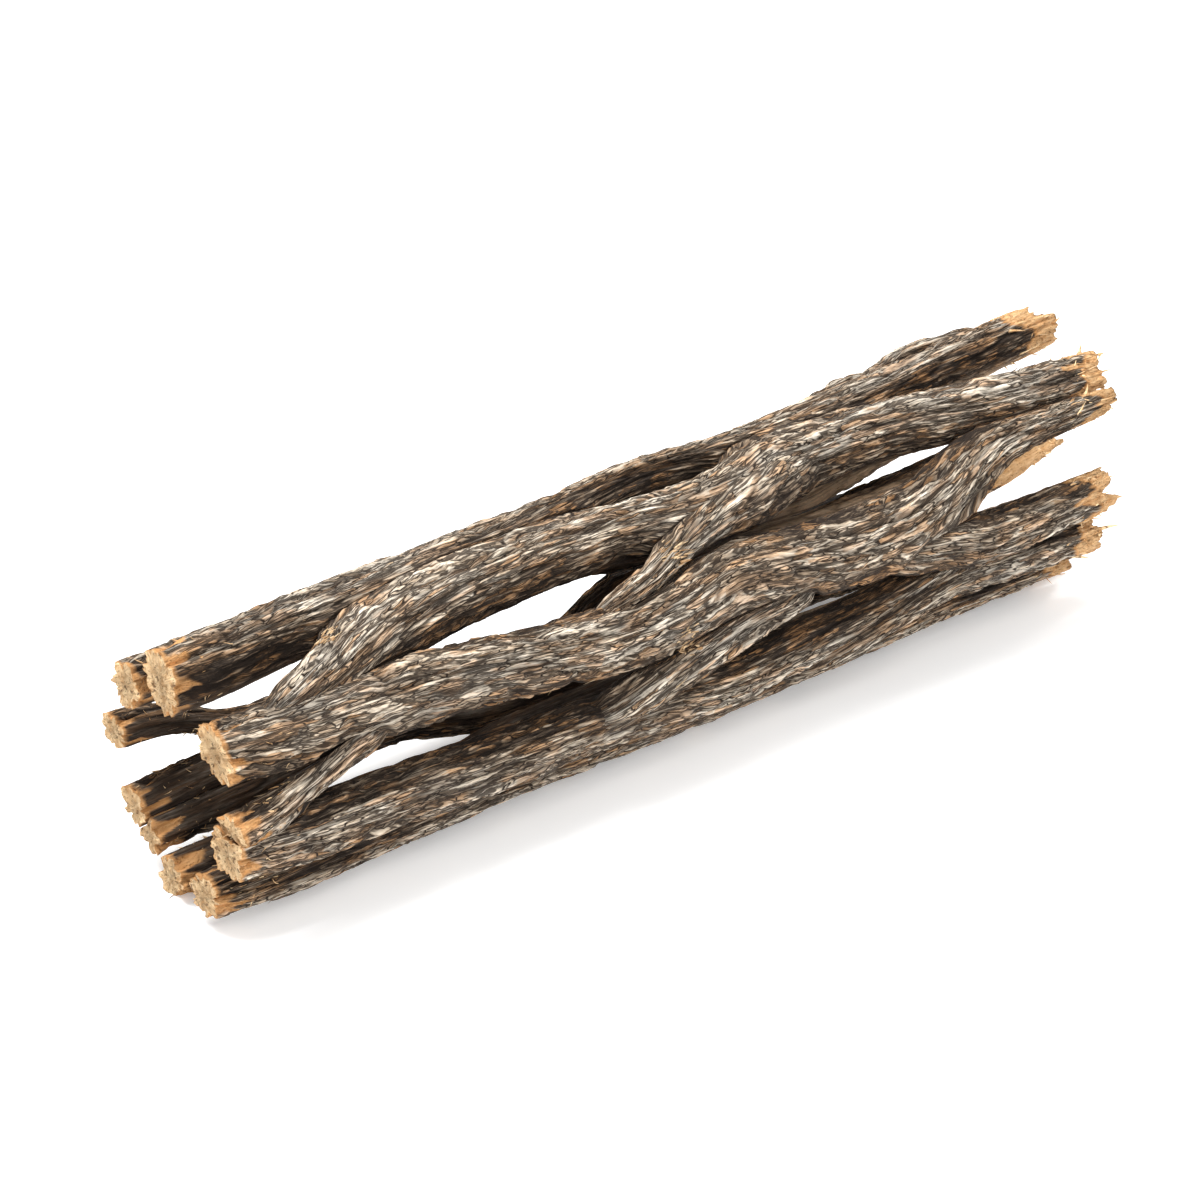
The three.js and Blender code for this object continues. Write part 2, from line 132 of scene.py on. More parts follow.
# %% The branches and links between them
BRANCHES = {
    "right_fork_branch": [
        (26, 14, 6, 6, -0.4), (34, 10, 6.8, 6.4, 0), (43, 4, 7.2, 6.4, 0), (50, 3, 6.8, 6.2, -0.1),
        (57, 4, 6.2, 5.8, -0.2), (69, 5, 5.8, 5.4, -0.2)],
    "ridge_branch": [
        (8, -36, 4, 4.4, 0), (16, -29, 4.2, 4.4, 0.1), (24, -21, 4.4, 4.6, 0.2),
        (31, -15, 4.6, 4.6, 0.2), (38, -12, 4.6, 4.8, 0), (45, -14, 4.8, 4.8, -0.2),
        (54, -17, 5, 4.8, -0.5), (68, -20, 5, 4.8, -0.7)],
    "underside_branch": [
        (14, 302, 4.4, 4.4, -1), (24, 296, 4.8, 4.8, -1), (34, 290, 5.2, 5, -1.1),
        (46, 287, 5.4, 5.2, -1.1), (58, 287, 5.4, 5.2, -1.1), (70, 289, 5.2, 5, -1)],
    "upper_link": [
        (-20, 38, 3.2, 4, 0), (-12, 44, 3.2, 4.2, 0), (-7, 50, 3.4, 4.4, 0.2), (-3, 54, 4, 4.8, 0.5),
        (3, 59, 4.8, 5.2, 0.5), (9, 63, 5.6, 5.4, 0.4), (15, 69, 5.2, 5, -0.1), (20, 74, 4.4, 4.4, -0.6)],
    "middle_link": [
        (-26, -17, 5, 5, 0), (-18, -9, 5.8, 5.2, 0.2), (-10, -1, 6.2, 5.2, 0.3), (-2, 6, 5.6, 5, 0),
        (7, 11, 4.4, 4.4, -0.4), (15, 16, 3.6, 4, -0.6)],
    "left_link": [
        (-77.6, 3, 4, 5.6, 0.1), (-72, 7, 3.8, 4.6, 0.1), (-67, 13.5, 3.6, 4.2, 0),
        (-61, 21.5, 3.6, 4, 0), (-53, 27.5, 3.2, 3.8, -0.3)],
    "underside_link": [
        (-52, 272, 4.4, 4.4, 0.4), (-43, 278, 4.8, 4.6, 0.5), (-33, 285, 5, 4.8, 0.5),
        (-23, 293, 4.8, 4.6, 0), (-13, 299, 4.4, 4.4, -0.3)],
    "left_back_link": [
        (-60, 138, 4, 4.2, 0), (-52, 145, 4.2, 4.2, 0), (-43, 155, 4.4, 4.2, 0),
        (-34, 166, 4.4, 4.2, 0), (-26, 174, 4.2, 4.2, 0)],
    "right_back_link": [
        (8, 182, 4.2, 4.2, 0), (16, 175, 4.4, 4.4, 0), (24, 165, 4.6, 4.4, 0), (32, 153, 4.6, 4.4, 0),
        (40, 143, 4.2, 4.2, 0)],
    "knobbly_twig": [
        (30, 118, 3, 3.2, -0.4), (36, 121, 3.4, 3.4, -0.1), (41, 123, 3.8, 3.6, 0.4),
        (46, 121, 3.4, 3.4, 0.1), (52, 124, 3.8, 3.8, 1.3), (58, 122, 3.8, 3.8, 1.3),
        (64, 118, 3.6, 3.6, 1), (69, 114, 3.2, 3.4, 0.7)],
}

# %% How each one ends
# A strand's start and finish are sawn, broken, or grown into a neighbour ("joined").
ENDS = {name: ("sawn", "broken") for name in STRANDS}
ENDS.update({name: ("joined", "joined") for name in BRANCHES})
ENDS["upper_front_strand"] = ("joined", "broken")
ENDS["lower_front_strand"] = ("sawn", "joined")
for name in ("right_fork_branch", "ridge_branch", "underside_branch"):
    ENDS[name] = ("joined", "broken")
ENDS["left_link"] = ("sawn", "joined")
print(len(STRANDS), "strands,", len(BRANCHES), "branches and links")

# %% [markdown]
# ## The camera
# The stem is seen from its front left, from a little above, through a long lens that keeps the near end
# from looking much bigger than the far one. The camera and the lights all look at the middle of the
# tube's axis, so one function works out their poses.

# %% Camera
LENS = 100.0
SENSOR = 36.0
AZIMUTH = -38.53
ELEVATION = 28.98
DISTANCE = 0.4474
SIDEWAYS = -0.0083
UPWARDS = -0.0005
MIDDLE = np.array([AXIS_SHIFT, 0.0, AXIS_HEIGHT]) * MM


def add_object(name, data):
    """A new object that holds the data, put into the scene."""
    made = bpy.data.objects.new(name, data)
    bpy.context.scene.collection.objects.link(made)
    return made


def aim(azimuth, height, distance, sideways=0.0, upwards=0.0):
    """The pose of something that looks along its -Z at the middle of the tube. With azimuth a and height
    h it stands the distance away along (sin a cos h, -cos a cos h, sin h), moved square to that."""
    azimuth, height = math.radians(azimuth), math.radians(height)
    back = np.array([math.sin(azimuth) * math.cos(height), -math.cos(azimuth) * math.cos(height),
                     math.sin(height)])
    right = np.array([math.cos(azimuth), math.sin(azimuth), 0.0])
    up = np.cross(back, right)
    pose = np.eye(4)
    pose[:3, :3] = np.stack([right, up, back], 1)
    pose[:3, 3] = MIDDLE + back * distance + right * sideways + up * upwards
    return Matrix(pose.tolist())


camera = add_object("camera", bpy.data.cameras.new("camera"))
camera.data.lens = LENS
camera.data.sensor_width = SENSOR
camera.data.clip_start = 0.01
camera.matrix_world = aim(AZIMUTH, ELEVATION, DISTANCE, SIDEWAYS, UPWARDS)
bpy.context.scene.camera = camera
print("camera at", [round(value, 3) for value in camera.matrix_world.translation])

# %% [markdown]
# ## The white table
# The table is one large square with a matt white paint. A little glow of its own keeps it white out to
# the edges of the view and leaves the soft shadow under the stem, as a bright backdrop does.

# %% Floor
FLOOR_HALF = 3.0
FLOOR_CORNERS = [(-FLOOR_HALF, -FLOOR_HALF, 0), (FLOOR_HALF, -FLOOR_HALF, 0),
                 (FLOOR_HALF, FLOOR_HALF, 0), (-FLOOR_HALF, FLOOR_HALF, 0)]


def new_material(name, settings):
    """A material, its node tree and its shader, with the shader's sockets set by name."""
    material = bpy.data.materials.new(name)
    material.use_nodes = True
    shader = material.node_tree.nodes["Principled BSDF"]
    for socket, value in settings.items():
        shader.inputs[socket].default_value = value
    return material, material.node_tree, shader


floor_mesh = bpy.data.meshes.new("floor")
floor_mesh.from_pydata(FLOOR_CORNERS, [], [(0, 1, 2, 3)])
floor_mesh.materials.append(new_material("floor_paint", {
    "Base Color": (0.9, 0.9, 0.9, 1), "Roughness": 0.9,
    "Emission Color": (1, 1, 1, 1), "Emission Strength": 0.25})[0])
floor = add_object("floor", floor_mesh)
print("floor:", 2 * FLOOR_HALF, "m wide")

# %% [markdown]
# ## Two softboxes and a bright room
# Large lights give soft shadows. The key hangs behind the stem and lights the tops of the strands. A
# weaker one in front lifts their sides, and the white room keeps the shaded undersides from going black.

# %% Lights
ROOM_STRENGTH = 0.62
SOFTBOXES = {"key_softbox": {"azimuth": -150, "height": 70, "distance": 0.9, "size": 0.6, "power": 13.0},
             "front_fill": {"azimuth": -14, "height": 44, "distance": 1.2, "size": 0.8, "power": 7.6}}

for name, box in SOFTBOXES.items():
    light = add_object(name, bpy.data.lights.new(name, "AREA"))
    light.data.size = box["size"]
    light.data.energy = box["power"]
    light.matrix_world = aim(box["azimuth"], box["height"], box["distance"])

room = bpy.data.worlds.new("room")
room.use_nodes = True
room.node_tree.nodes["Background"].inputs["Color"].default_value = (1.0, 1.0, 1.0, 1)
room.node_tree.nodes["Background"].inputs["Strength"].default_value = ROOM_STRENGTH
bpy.context.scene.world = room
bpy.context.scene.view_settings.view_transform = "Standard"
print("lights:", ", ".join(SOFTBOXES))

# %% [markdown]
# ## Smooth spines
# Between its rows a strand follows smooth cubic pieces, the same ones that the solid model uses. Working
# them out once on a fine, even ruler along the tube lets every later step look a section up quickly.

# %% Sections along a strand
RULER = 0.25
SINK_LENGTH = 6.0
SINK_DEPTH = 1.6
SINK_NARROWING = 0.35


def column(rows, k, x):
    """Column k of the rows at x: the straight line between two rows plus a cubic bend that gives both
    ends the slope of the rows on either side."""
    at, value = rows[:, 0], rows[:, k]
    before, after = np.r_[0, np.arange(len(at) - 1)], np.r_[np.arange(1, len(at)), len(at) - 1]
    slope = (value[after] - value[before]) / (at[after] - at[before])
    x = np.clip(x, at[0], at[-1])
    b = np.clip(np.searchsorted(at, x), 1, len(at) - 1)
    a = b - 1
    span = at[b] - at[a]
    t = (x - at[a]) / span
    rise = (value[b] - value[a]) / span
    bend = (slope[a] - rise) * (1 - t) + (rise - slope[b]) * t
    return value[a] + (value[b] - value[a]) * t + span * t * (1 - t) * bend


def wall_radius(x):
    """The tube's outer radius, growing evenly from the sawn end to the broken end."""
    along = np.clip((x - TAPER_START) / TAPER_LENGTH, 0, 1)
    return RADIUS_CUT_END + (RADIUS_BROKEN_END - RADIUS_CUT_END) * along


def make_spine(rows, ends):
    """The strand's sections on an even ruler: angle in radians, half width square to the strand, half
    thickness, radius of the middle, and the cosine of its lean across the tube. Over the last few
    millimetres of an end that is joined, the strand narrows and sinks into its neighbour."""
    rows = np.array(rows, float)
    ruler = np.arange(rows[0, 0], rows[-1, 0] + RULER, RULER)
    sink = np.zeros(len(ruler))
    for kind, inside in zip(ends, (ruler - rows[0, 0], rows[-1, 0] - ruler)):
        if kind == "joined":
            sink = np.maximum(sink, np.clip(1 - inside / SINK_LENGTH, 0, 1) ** 2)
    angle = np.radians(column(rows, 1, ruler))
    half_width = column(rows, 2, ruler) / 2 * (1 - SINK_NARROWING * sink)
    half_thickness = column(rows, 3, ruler) / 2
    mid = wall_radius(ruler) + column(rows, 4, ruler) - half_thickness - SINK_DEPTH * sink
    lean = 1 / np.hypot(1, np.gradient(angle, ruler) * mid)
    return {"x": ruler, "start": rows[0, 0], "end": rows[-1, 0], "angle": angle,
            "half_width": half_width, "half_thickness": half_thickness, "mid": mid, "lean": lean}


SPINES = {name: make_spine(rows, ENDS[name]) for name, rows in {**STRANDS, **BRANCHES}.items()}
print("longest strand:", max(spine["end"] - spine["start"] for spine in SPINES.values()), "mm")

# %% [markdown]
# ## Wood that grows together
# Where two strands touch, the living wood fused with a small fillet between them. The measure below says
# how far a point lies outside a strand. A smooth minimum of these measures is the skin of the fused wood,
# and each strand keeps the part of that skin that is nearer to it than to its neighbours.

# %% Measures of distance
BOX_POWER = 2.5
FILLET = 1.3
BROADLY_FUSED = {frozenset(("top_strand", "upper_front_strand")): 4.5,
                 frozenset(("upper_front_strand", "upper_link")): 4.5,
                 frozenset(("lower_front_strand", "bottom_front_strand")): 2.6,
                 frozenset(("lower_front_strand", "left_link")): 2.6,
                 frozenset(("front_strand", "right_fork_branch")): 2.6}
OVERLAP = 0.45
PAST_END = 1.5
FAR = 9.0


def section_at(spine, x):
    """The spine's values at x, straight between the marks of its ruler."""
    return [np.interp(x, spine["x"], spine[key])
            for key in ("angle", "half_width", "half_thickness", "mid", "lean")]


def power_norm(a, b):
    """(|a|^2.5 + |b|^2.5)^0.4: 1 on a rounded box of unit half sides."""
    a, b = np.abs(a), np.abs(b)
    return (a * a * np.sqrt(a) + b * b * np.sqrt(b)) ** (1 / BOX_POWER)


def outside(spine, x, angle, radius, section=None):
    """Distance outside a strand's skin, measured from its middle; negative inside."""
    centre, half_width, half_thickness, mid, lean = section or section_at(spine, x)
    across = ((angle - centre + math.pi) % (2 * math.pi) - math.pi) * mid * lean
    through = radius - mid
    reach = np.maximum(power_norm(across / half_width, through / half_thickness), 1e-3)
    beyond = np.maximum(np.maximum(spine["start"] - x, x - spine["end"]), 0)
    return np.hypot(across, through) * (1 - 1 / reach) + PAST_END * beyond


def fillet_of(name, other):
    """How wide the fillet is where two strands meet."""
    return BROADLY_FUSED.get(frozenset((name, other)), FILLET)


def fuse(a, b, fillet):
    """Smooth minimum: the smaller of two distances, less k h^2 / 4 where they are within the fillet k
    of each other, which rounds the inner corner. h falls from 1 to 0 as they part."""
    near = np.maximum(fillet - np.abs(a - b), 0) / fillet
    return np.minimum(a, b) - near * near * fillet / 4


def neighbours_of(name):
    """The other strands that come within a fillet of this one."""
    spine = SPINES[name]
    x = np.arange(spine["start"], spine["end"], 1.0)[:, None]
    turn = np.linspace(0, 2 * math.pi, 16, endpoint=False)[None, :]
    centre, half_width, half_thickness, mid, lean = section_at(spine, x)
    angle = centre + half_width * np.cos(turn) / (mid * lean)
    radius = mid + half_thickness * np.sin(turn)
    return [other for other in SPINES if other != name
            and (outside(SPINES[other], x + 0 * turn, angle, radius) < fillet_of(name, other)).any()]


NEIGHBOURS = {name: neighbours_of(name) for name in SPINES}
print("the front strand grows into", ", ".join(NEIGHBOURS["front_strand"]))

# %% [markdown]
# ## Noise from tables
# Weathered wood is irregular at every size, so the shapes below lean on two kinds of noise. Soft noise
# blends random numbers that sit on a lattice; stretched along a strand it gives grain, ridges and swells.
# Plates split the surface into cells around random centres, as bark splits into flakes, and give each
# its own number. Both read seeded tables that repeat, so a pattern closes on itself round a strand and
# is the same in every run.

# %% Noise functions
def ease(low, high, value):
    """0 below low, 1 above high, and 3t^2 - 2t^3 between them."""
    t = np.clip((value - low) / (high - low), 0, 1)
    return t * t * (3 - 2 * t)


def soft_noise(a, b, table):
    """Smooth noise from -1 to 1: a table's numbers at whole places, eased into each other between them."""
    i, j = np.floor(a).astype(int), np.floor(b).astype(int)
    s, t = ease(0, 1, a - i), ease(0, 1, b - j)
    rows, columns = table.shape
    i, j = i % rows, j % columns
    next_i, next_j = (i + 1) % rows, (j + 1) % columns
    low = table[i, j] + (table[i, next_j] - table[i, j]) * t
    high = table[next_i, j] + (table[next_i, next_j] - table[next_i, j]) * t
    return 2 * (low + (high - low) * s) - 1


def plate_number(a, b, table):
    """Each unit square of (a, b) holds one plate's centre, moved by the table's first two numbers.
    Returns the third number, from 0 to 1, of the plate whose centre is nearest."""
    i, j = np.floor(a).astype(int), np.floor(b).astype(int)
    nearest = np.full(a.shape, FAR)
    number = np.zeros(a.shape)
    for down in (-1, 0, 1):
        for across in (-1, 0, 1):
            jitter = table[(i + down) % table.shape[0], (j + across) % table.shape[1]]
            distance = np.hypot(a - i - down - 0.1 - 0.8 * jitter[..., 0],
                                b - j - across - 0.1 - 0.8 * jitter[..., 1])
            number = np.where(distance < nearest, jitter[..., 2], number)
            nearest = np.minimum(nearest, distance)
    return number


print("soft noise halfway between 0 and 1:", soft_noise(np.array([0.5]), np.zeros(1), np.eye(2))[0])

# %% [markdown]
# ## The weathered relief
# Sun and rain leave long ridges with furrows between them, and across the ridges the surface
# breaks into small lens-shaped flakes. The relief is a height added to the smooth skin, and the same
# patterns are kept as numbers on the vertices, so that the colours later follow the shape exactly; the
# furrows and splits are darkened in the colour as painted shade.

# %% Relief of one strand
TABLE_ROWS = 97
SWELL_HEIGHT = 0.24
MEAN_LIFT = 0.18
FURROW_DEPTH = 0.55
SPLIT_DEPTH = 0.34
CHINK_DEPTH = 0.20
PLATE_STEP = 0.20
FIBRE_HEIGHT = 0.10


def relief(x, around, girth, draw):
    """Height in mm and colour masks at x along the strand and around it (0 to 1 for one turn). The
    height is a slow swell, less a deep furrow and two sizes of finer split along the lines where soft
    noises cross zero, plus a level for each plate and fine fibre. Each noise is given by its length
    along the strand and its width around it, both in mm."""
    def turns(width):
        return max(3, int(round(girth / width)))

    def noise(length, width, place):
        count = turns(width)
        return soft_noise(x / length, place * count, draw.random((TABLE_ROWS, count)))

    def line(values, width):
        return np.clip(1 - np.abs(values) / width, 0, 1)

    swirl = around + (0.9 * noise(17, 4.0, around) + 0.35 * noise(6, 2.2, around)) / girth
    furrow = line(noise(21, 1.7, swirl) + 0.3 * noise(8, 0.9, swirl), 0.24) ** 1.3
    split = line(noise(8, 0.66, swirl) + 0.35 * noise(2.6, 0.4, swirl), 0.42)
    chink = line(noise(3.6, 0.46, swirl) + 0.35 * noise(1.4, 0.34, swirl), 0.36)
    count = turns(0.62)
    number = plate_number(x / 2.6 + 0.6 * noise(4, 1.2, around), swirl * count,
                          draw.random((TABLE_ROWS, count, 3)))
    fibre = noise(2.4, 0.45, swirl)
    swell = noise(11, 5.0, around)
    height = (SWELL_HEIGHT * swell + MEAN_LIFT - FURROW_DEPTH * furrow - SPLIT_DEPTH * split
              - CHINK_DEPTH * chink + PLATE_STEP * (number - 0.5) + FIBRE_HEIGHT * fibre)
    tone = 0.57 + 0.19 * noise(12, 2.0, swirl) + 0.12 * (number - 0.5) + 0.10 * fibre
    rust = ease(0.15, 0.8, noise(3.5, 0.7, swirl) + 0.6 * (number - 0.5))
    # Painted shade: this mask darkens the furrows and splits in the colour.
    crack_shade = np.maximum(np.maximum(furrow, 0.85 * split), 0.6 * chink)
    notch = ease(-0.05, 0.35, noise(9, 0.85, swirl))
    return {"height": height, "crack_shade": crack_shade, "tone": tone, "rust": rust, "fibre": fibre,
            "wide": noise(6, 1.3, swirl), "notch": notch}


# %% [markdown]
# ## From spine to surface
# Every strand is one grid: rows along it and columns round it. A point leaves the middle of the section
# in its own direction until it meets the skin of the fused wood, and then moves by the relief. Halving
# the search a few times finds that skin for all the points at once, with no formula for the crossing.

# %% Where the skin lies
CREASE = 0.65
SEAM_HOLD = 0.15
SEARCH_PAST = 2.5
HALVINGS = 11


def skin_radius(name, x, across_way, through_way, section):
    """Distance along a ray from the middle of the section to the fused skin, found by halving. Then how
    much nearer the point there lies to this strand than to any other, and the same once more with the
    broadly fused neighbours held a little further off, for the seams."""
    centre, half_width, half_thickness, mid, lean = section
    own = 1 / power_norm(across_way / half_width, through_way / half_thickness)
    others = [(SPINES[other], section_at(SPINES[other], x), fillet_of(name, other))
              for other in NEIGHBOURS[name]]

    def measure(reach):
        angle = centre + reach * across_way / (mid * lean)
        radius = mid + reach * through_way
        fused, nearest, seam = reach - own, np.full(reach.shape, FAR), np.full(reach.shape, FAR)
        for spine, at, fillet in others:
            there = outside(spine, x, angle, radius, at)
            nearest = np.minimum(nearest, there)
            seam = np.minimum(seam, there + SEAM_HOLD * (fillet - FILLET))
            fused = fuse(fused, there, fillet)
        skin = np.maximum(fused, reach - own - nearest - OVERLAP)
        return skin, nearest - (reach - own), seam - (reach - own)

    low, high = np.zeros(own.shape), own + SEARCH_PAST
    for _ in range(HALVINGS):
        halfway = (low + high) / 2
        beyond = measure(halfway)[0] > 0
        low, high = np.where(beyond, low, halfway), np.where(beyond, halfway, high)
    return low, *measure(low)[1:]


print("the skin is found to within", SEARCH_PAST / 2 ** HALVINGS, "mm")

# %% [markdown]
# ## Sawn and broken ends
# A saw leaves a flat face that crumbles at the rim, because the wood is soft. A break leaves a crown of
# uneven teeth around a torn crater. Both are made by moving rows of the grid: each column is pushed back
# by its own noise, and a cap of rows that shrink to a point closes the end.

# %% End shapes
CAP_ROWS = 12
SAW_RAGGED = 4.0
BREAK_LENGTH = 7.0
TOOTH_DEPTH = 4.8
CRATER_DEPTH = 2.6
BARE_LENGTH = {"long_back_strand": 14.0, "top_strand": 6.0}
USUAL_BARE_LENGTH = 3.6


def push_ends(spine, ends, x, girth, draw):
    """Moves the rows near a sawn or broken end along the tube by a noise round the strand. The push is
    whole at the end and fades to nothing over the length of the ragged part."""
    columns = x.shape[1]

    def ring_noise(cells, power=1.0):
        raw = soft_noise(np.zeros(columns), np.arange(columns) / columns * cells, draw.random((3, cells)))
        return np.sign(raw) * np.abs(raw) ** power

    if ends[0] == "sawn":
        notch = 0.22 * ring_noise(9) + 0.24 * ring_noise(int(girth / 0.85), 0.6)
        x = x + notch * ease(SAW_RAGGED, 0, x - spine["start"])
    if ends[1] == "broken":
        tooth = (0.30 + 0.44 * ring_noise(5) + 0.34 * ring_noise(9) + 0.24 * ring_noise(13)
                 + 0.14 * ring_noise(25))
        pushed = TOOTH_DEPTH * np.clip(tooth, -0.1, 1.2)
        x = x - pushed * np.clip((x - spine["end"] + BREAK_LENGTH) / BREAK_LENGTH, 0, 1)
    return x


def cap_places(kind, rim, saw_line, shrink, outward_sign, fine):
    """Places along the tube of a cap's rows. They ease away from the rim as the rows shrink: to a rough
    flat face on the saw line, a torn crater at a break, or a low dome where the strand is joined."""
    if kind == "sawn":
        flat = 1 - shrink ** 4
        return saw_line * flat + rim * (1 - flat) + 0.24 * flat * fine
    if kind == "broken":
        crater = rim.mean() - CRATER_DEPTH + 0.9 * fine
        return crater * (1 - shrink ** 2) + rim * shrink ** 2
    return rim + outward_sign * 1.2 * (1 - shrink ** 2)


def bare_wood(name, x, marks):
    """How raw the wood is, from 0 to 1: it eases in over the last few millimetres of a sawn or a broken
    end, further along some fibres than others."""
    spine = SPINES[name]
    raw = 0 * x
    if ENDS[name][0] == "sawn":
        bare = 0.25 + 4.2 * marks["notch"] * (0.6 + 0.5 * marks["wide"])
        raw = np.maximum(raw, 0.8 * ease(bare + 0.5, bare - 0.1, x - spine["start"]))
    if ENDS[name][1] == "broken":
        bare = BARE_LENGTH.get(name, USUAL_BARE_LENGTH) + 2.6 * marks["wide"] + 1.0 * marks["fibre"]
        raw = np.maximum(raw, 0.9 * ease(bare + 0.7, bare - 0.3, x[-1] - x))
    return raw


print("sawn ends:", sum(ends[0] == "sawn" for ends in ENDS.values()),
      "broken ends:", sum(ends[1] == "broken" for ends in ENDS.values()))

# %% Grid of a strand
CELL_ALONG = 0.36
CELL_AROUND = 0.155
BACK_COARSER = 1.25
BACK_PIECES = [name for name in SPINES if "back" in name or "underside" in name]
INNER_SMOOTHING = 0.6
NOTCH_DEPTH = 0.75
LEAST_REACH = 0.3
SEED = 4100


def strand_grid(name, seed):
    """Places in mm (rows, columns, 3), colour masks, and the girth in mm of one strand. Each point lies
    at its row's middle + its reach * its direction, bent round the tube's axis."""
    draw = np.random.default_rng(seed)
    spine = SPINES[name]
    girth = 3.5 * (spine["half_width"] + spine["half_thickness"]).mean()
    coarser = BACK_COARSER if name in BACK_PIECES else 1.0
    columns = int(round(girth / CELL_AROUND / coarser))
    rows = int(round((spine["end"] - spine["start"]) / CELL_ALONG / coarser))
    around = np.arange(columns) / columns + np.zeros((rows + 1, 1))
    turn = 2 * math.pi * around - math.pi / 2
    x = np.linspace(spine["start"], spine["end"], rows + 1)[:, None] + 0 * turn
    x = push_ends(spine, ENDS[name], x, girth, draw)

    # The smooth skin, then the relief, which fades where the strand runs into another.
    section = section_at(spine, x)
    half_width, half_thickness = section[1:3]
    box_reach = 1 / power_norm(np.cos(turn), np.sin(turn))
    across_way, through_way = half_width * box_reach * np.cos(turn), half_thickness * box_reach * np.sin(turn)
    length = np.hypot(across_way, through_way)
    across_way, through_way = across_way / length, through_way / length
    reach, nearer, seam = skin_radius(name, x, across_way, through_way, section)
    marks = relief(x, around, girth, draw)
    inner = ease(0.15, 0.75, -through_way)
    # The sides of the strand, which the tone mask paints darker as painted shade.
    painted_flank_shade = ease(0.55, 0.95, np.abs(across_way))
    near_cut = ease(5, 0, x - spine["start"]) if ENDS[name][0] == "sawn" else 0 * x
    height = marks["height"] * (1 - INNER_SMOOTHING * inner) - NOTCH_DEPTH * marks["notch"] * near_cut
    clear = ease(-OVERLAP, 1.1, nearer)
    reach = reach + height * clear - CREASE * (1 - ease(-0.1, 0.8, seam))
    reach = np.maximum(reach, LEAST_REACH)
    # Painted shade in the cracks, and along the seams where strands grow together.
    crack_shade = np.maximum(marks["crack_shade"], 1 - ease(0.1, 0.8, seam))

    # The caps, with two sizes of roughness laid over both.
    shrink = np.sqrt(np.linspace(1, 0, CAP_ROWS + 1)[1:-1, None]) ** 1.3 + 0 * turn[:1]
    rough = draw.random((61, 61))
    caps = []
    for rim, kind, sign in ((0, ENDS[name][0], -1), (-1, ENDS[name][1], 1)):
        a, b = (reach[rim] * shrink * way[rim] for way in (across_way, through_way))
        fine = soft_noise(a / 0.55, b / 0.55, rough) + 0.6 * soft_noise(a / 0.3 + 9, b / 0.3, rough)
        caps.append(cap_places(kind, x[rim], spine["start"], shrink, sign, fine))

    def extend(values, on_bare=None, on_joined=None):
        """Adds the caps' rows: copies of the rim, or a number given for an end of that kind."""
        added = []
        for rim, kind in ((values[:1], ENDS[name][0]), (values[-1:], ENDS[name][1])):
            number = on_joined if kind == "joined" else on_bare
            added.append(np.repeat(rim if number is None else number + 0 * rim, CAP_ROWS - 1, 0))
        return np.vstack([added[0], values, added[1]])

    # The tone mask holds painted shade: darker on the sides of the strand and a little on the inner faces.
    masks = {"tone": extend(marks["tone"] - 0.50 * painted_flank_shade - 0.15 * inner, 0.5, 0.5),
             "crack_shade": extend(crack_shade * clear ** 0.2, 0.0),
             "rust": extend(marks["rust"]),
             "raw": extend(bare_wood(name, x, marks), 1.0),
             "inner": extend(inner, 0.0)}
    x = np.vstack([caps[0][::-1], x, caps[1]])
    reach = np.vstack([(shrink * reach[0])[::-1], reach, shrink * reach[-1]])
    centre, _, _, mid, lean = section_at(spine, x)
    angle = centre + reach * extend(across_way) / (mid * lean)
    radius = mid + reach * extend(through_way)
    places = np.stack([x + AXIS_SHIFT, -radius * np.cos(angle),
                       np.maximum(radius * np.sin(angle) + AXIS_HEIGHT, 0)], -1)
    return places, masks, girth


print("grid cells:", CELL_ALONG, "by", CELL_AROUND, "mm, coarser at the back:", len(BACK_PIECES), "pieces")

# %% [markdown]
# ## Closed meshes from grids
# A grid becomes a mesh of quads that wraps round the strand, with a fan of triangles over the last
# small ring at either end. Two UV maps come with it: one in millimetres along and around the strand,
# for the grain, and one that fits the unit square, for baking.

# %% Meshes from arrays
def wrapped_quads(rows, columns):
    """Corner numbers of the quads between neighbouring rows and columns, the last column joining the
    first, and the row and column that each quad starts from."""
    i, j = np.meshgrid(np.arange(rows - 1), np.arange(columns), indexing="ij")
    onward = (j + 1) % columns
    corners = [i * columns + j, i * columns + onward, (i + 1) * columns + onward, (i + 1) * columns + j]
    return np.stack(corners, -1).reshape(-1, 4), i, j


def make_piece(name, places, corners, sides, uv_maps, marks):
    """An object from places in mm, the corner numbers of all faces in one row, how many sides each face
    has, UV maps by name and numbers on the vertices by name."""
    mesh = bpy.data.meshes.new(name)
    mesh.vertices.add(len(places))
    mesh.vertices.foreach_set("co", (places * MM).ravel())
    mesh.loops.add(len(corners))
    mesh.loops.foreach_set("vertex_index", corners)
    mesh.polygons.add(len(sides))
    mesh.polygons.foreach_set("loop_start", np.r_[0, np.cumsum(sides)[:-1]])
    for key, values in uv_maps.items():
        mesh.uv_layers.new(name=key).data.foreach_set("uv", values.ravel())
    for key, values in marks.items():
        layer = mesh.attributes.new(key, "FLOAT", "POINT")
        layer.data.foreach_set("value", values.astype(np.float32))
    mesh.update(calc_edges=True)
    mesh.validate()
    return add_object(name, mesh)


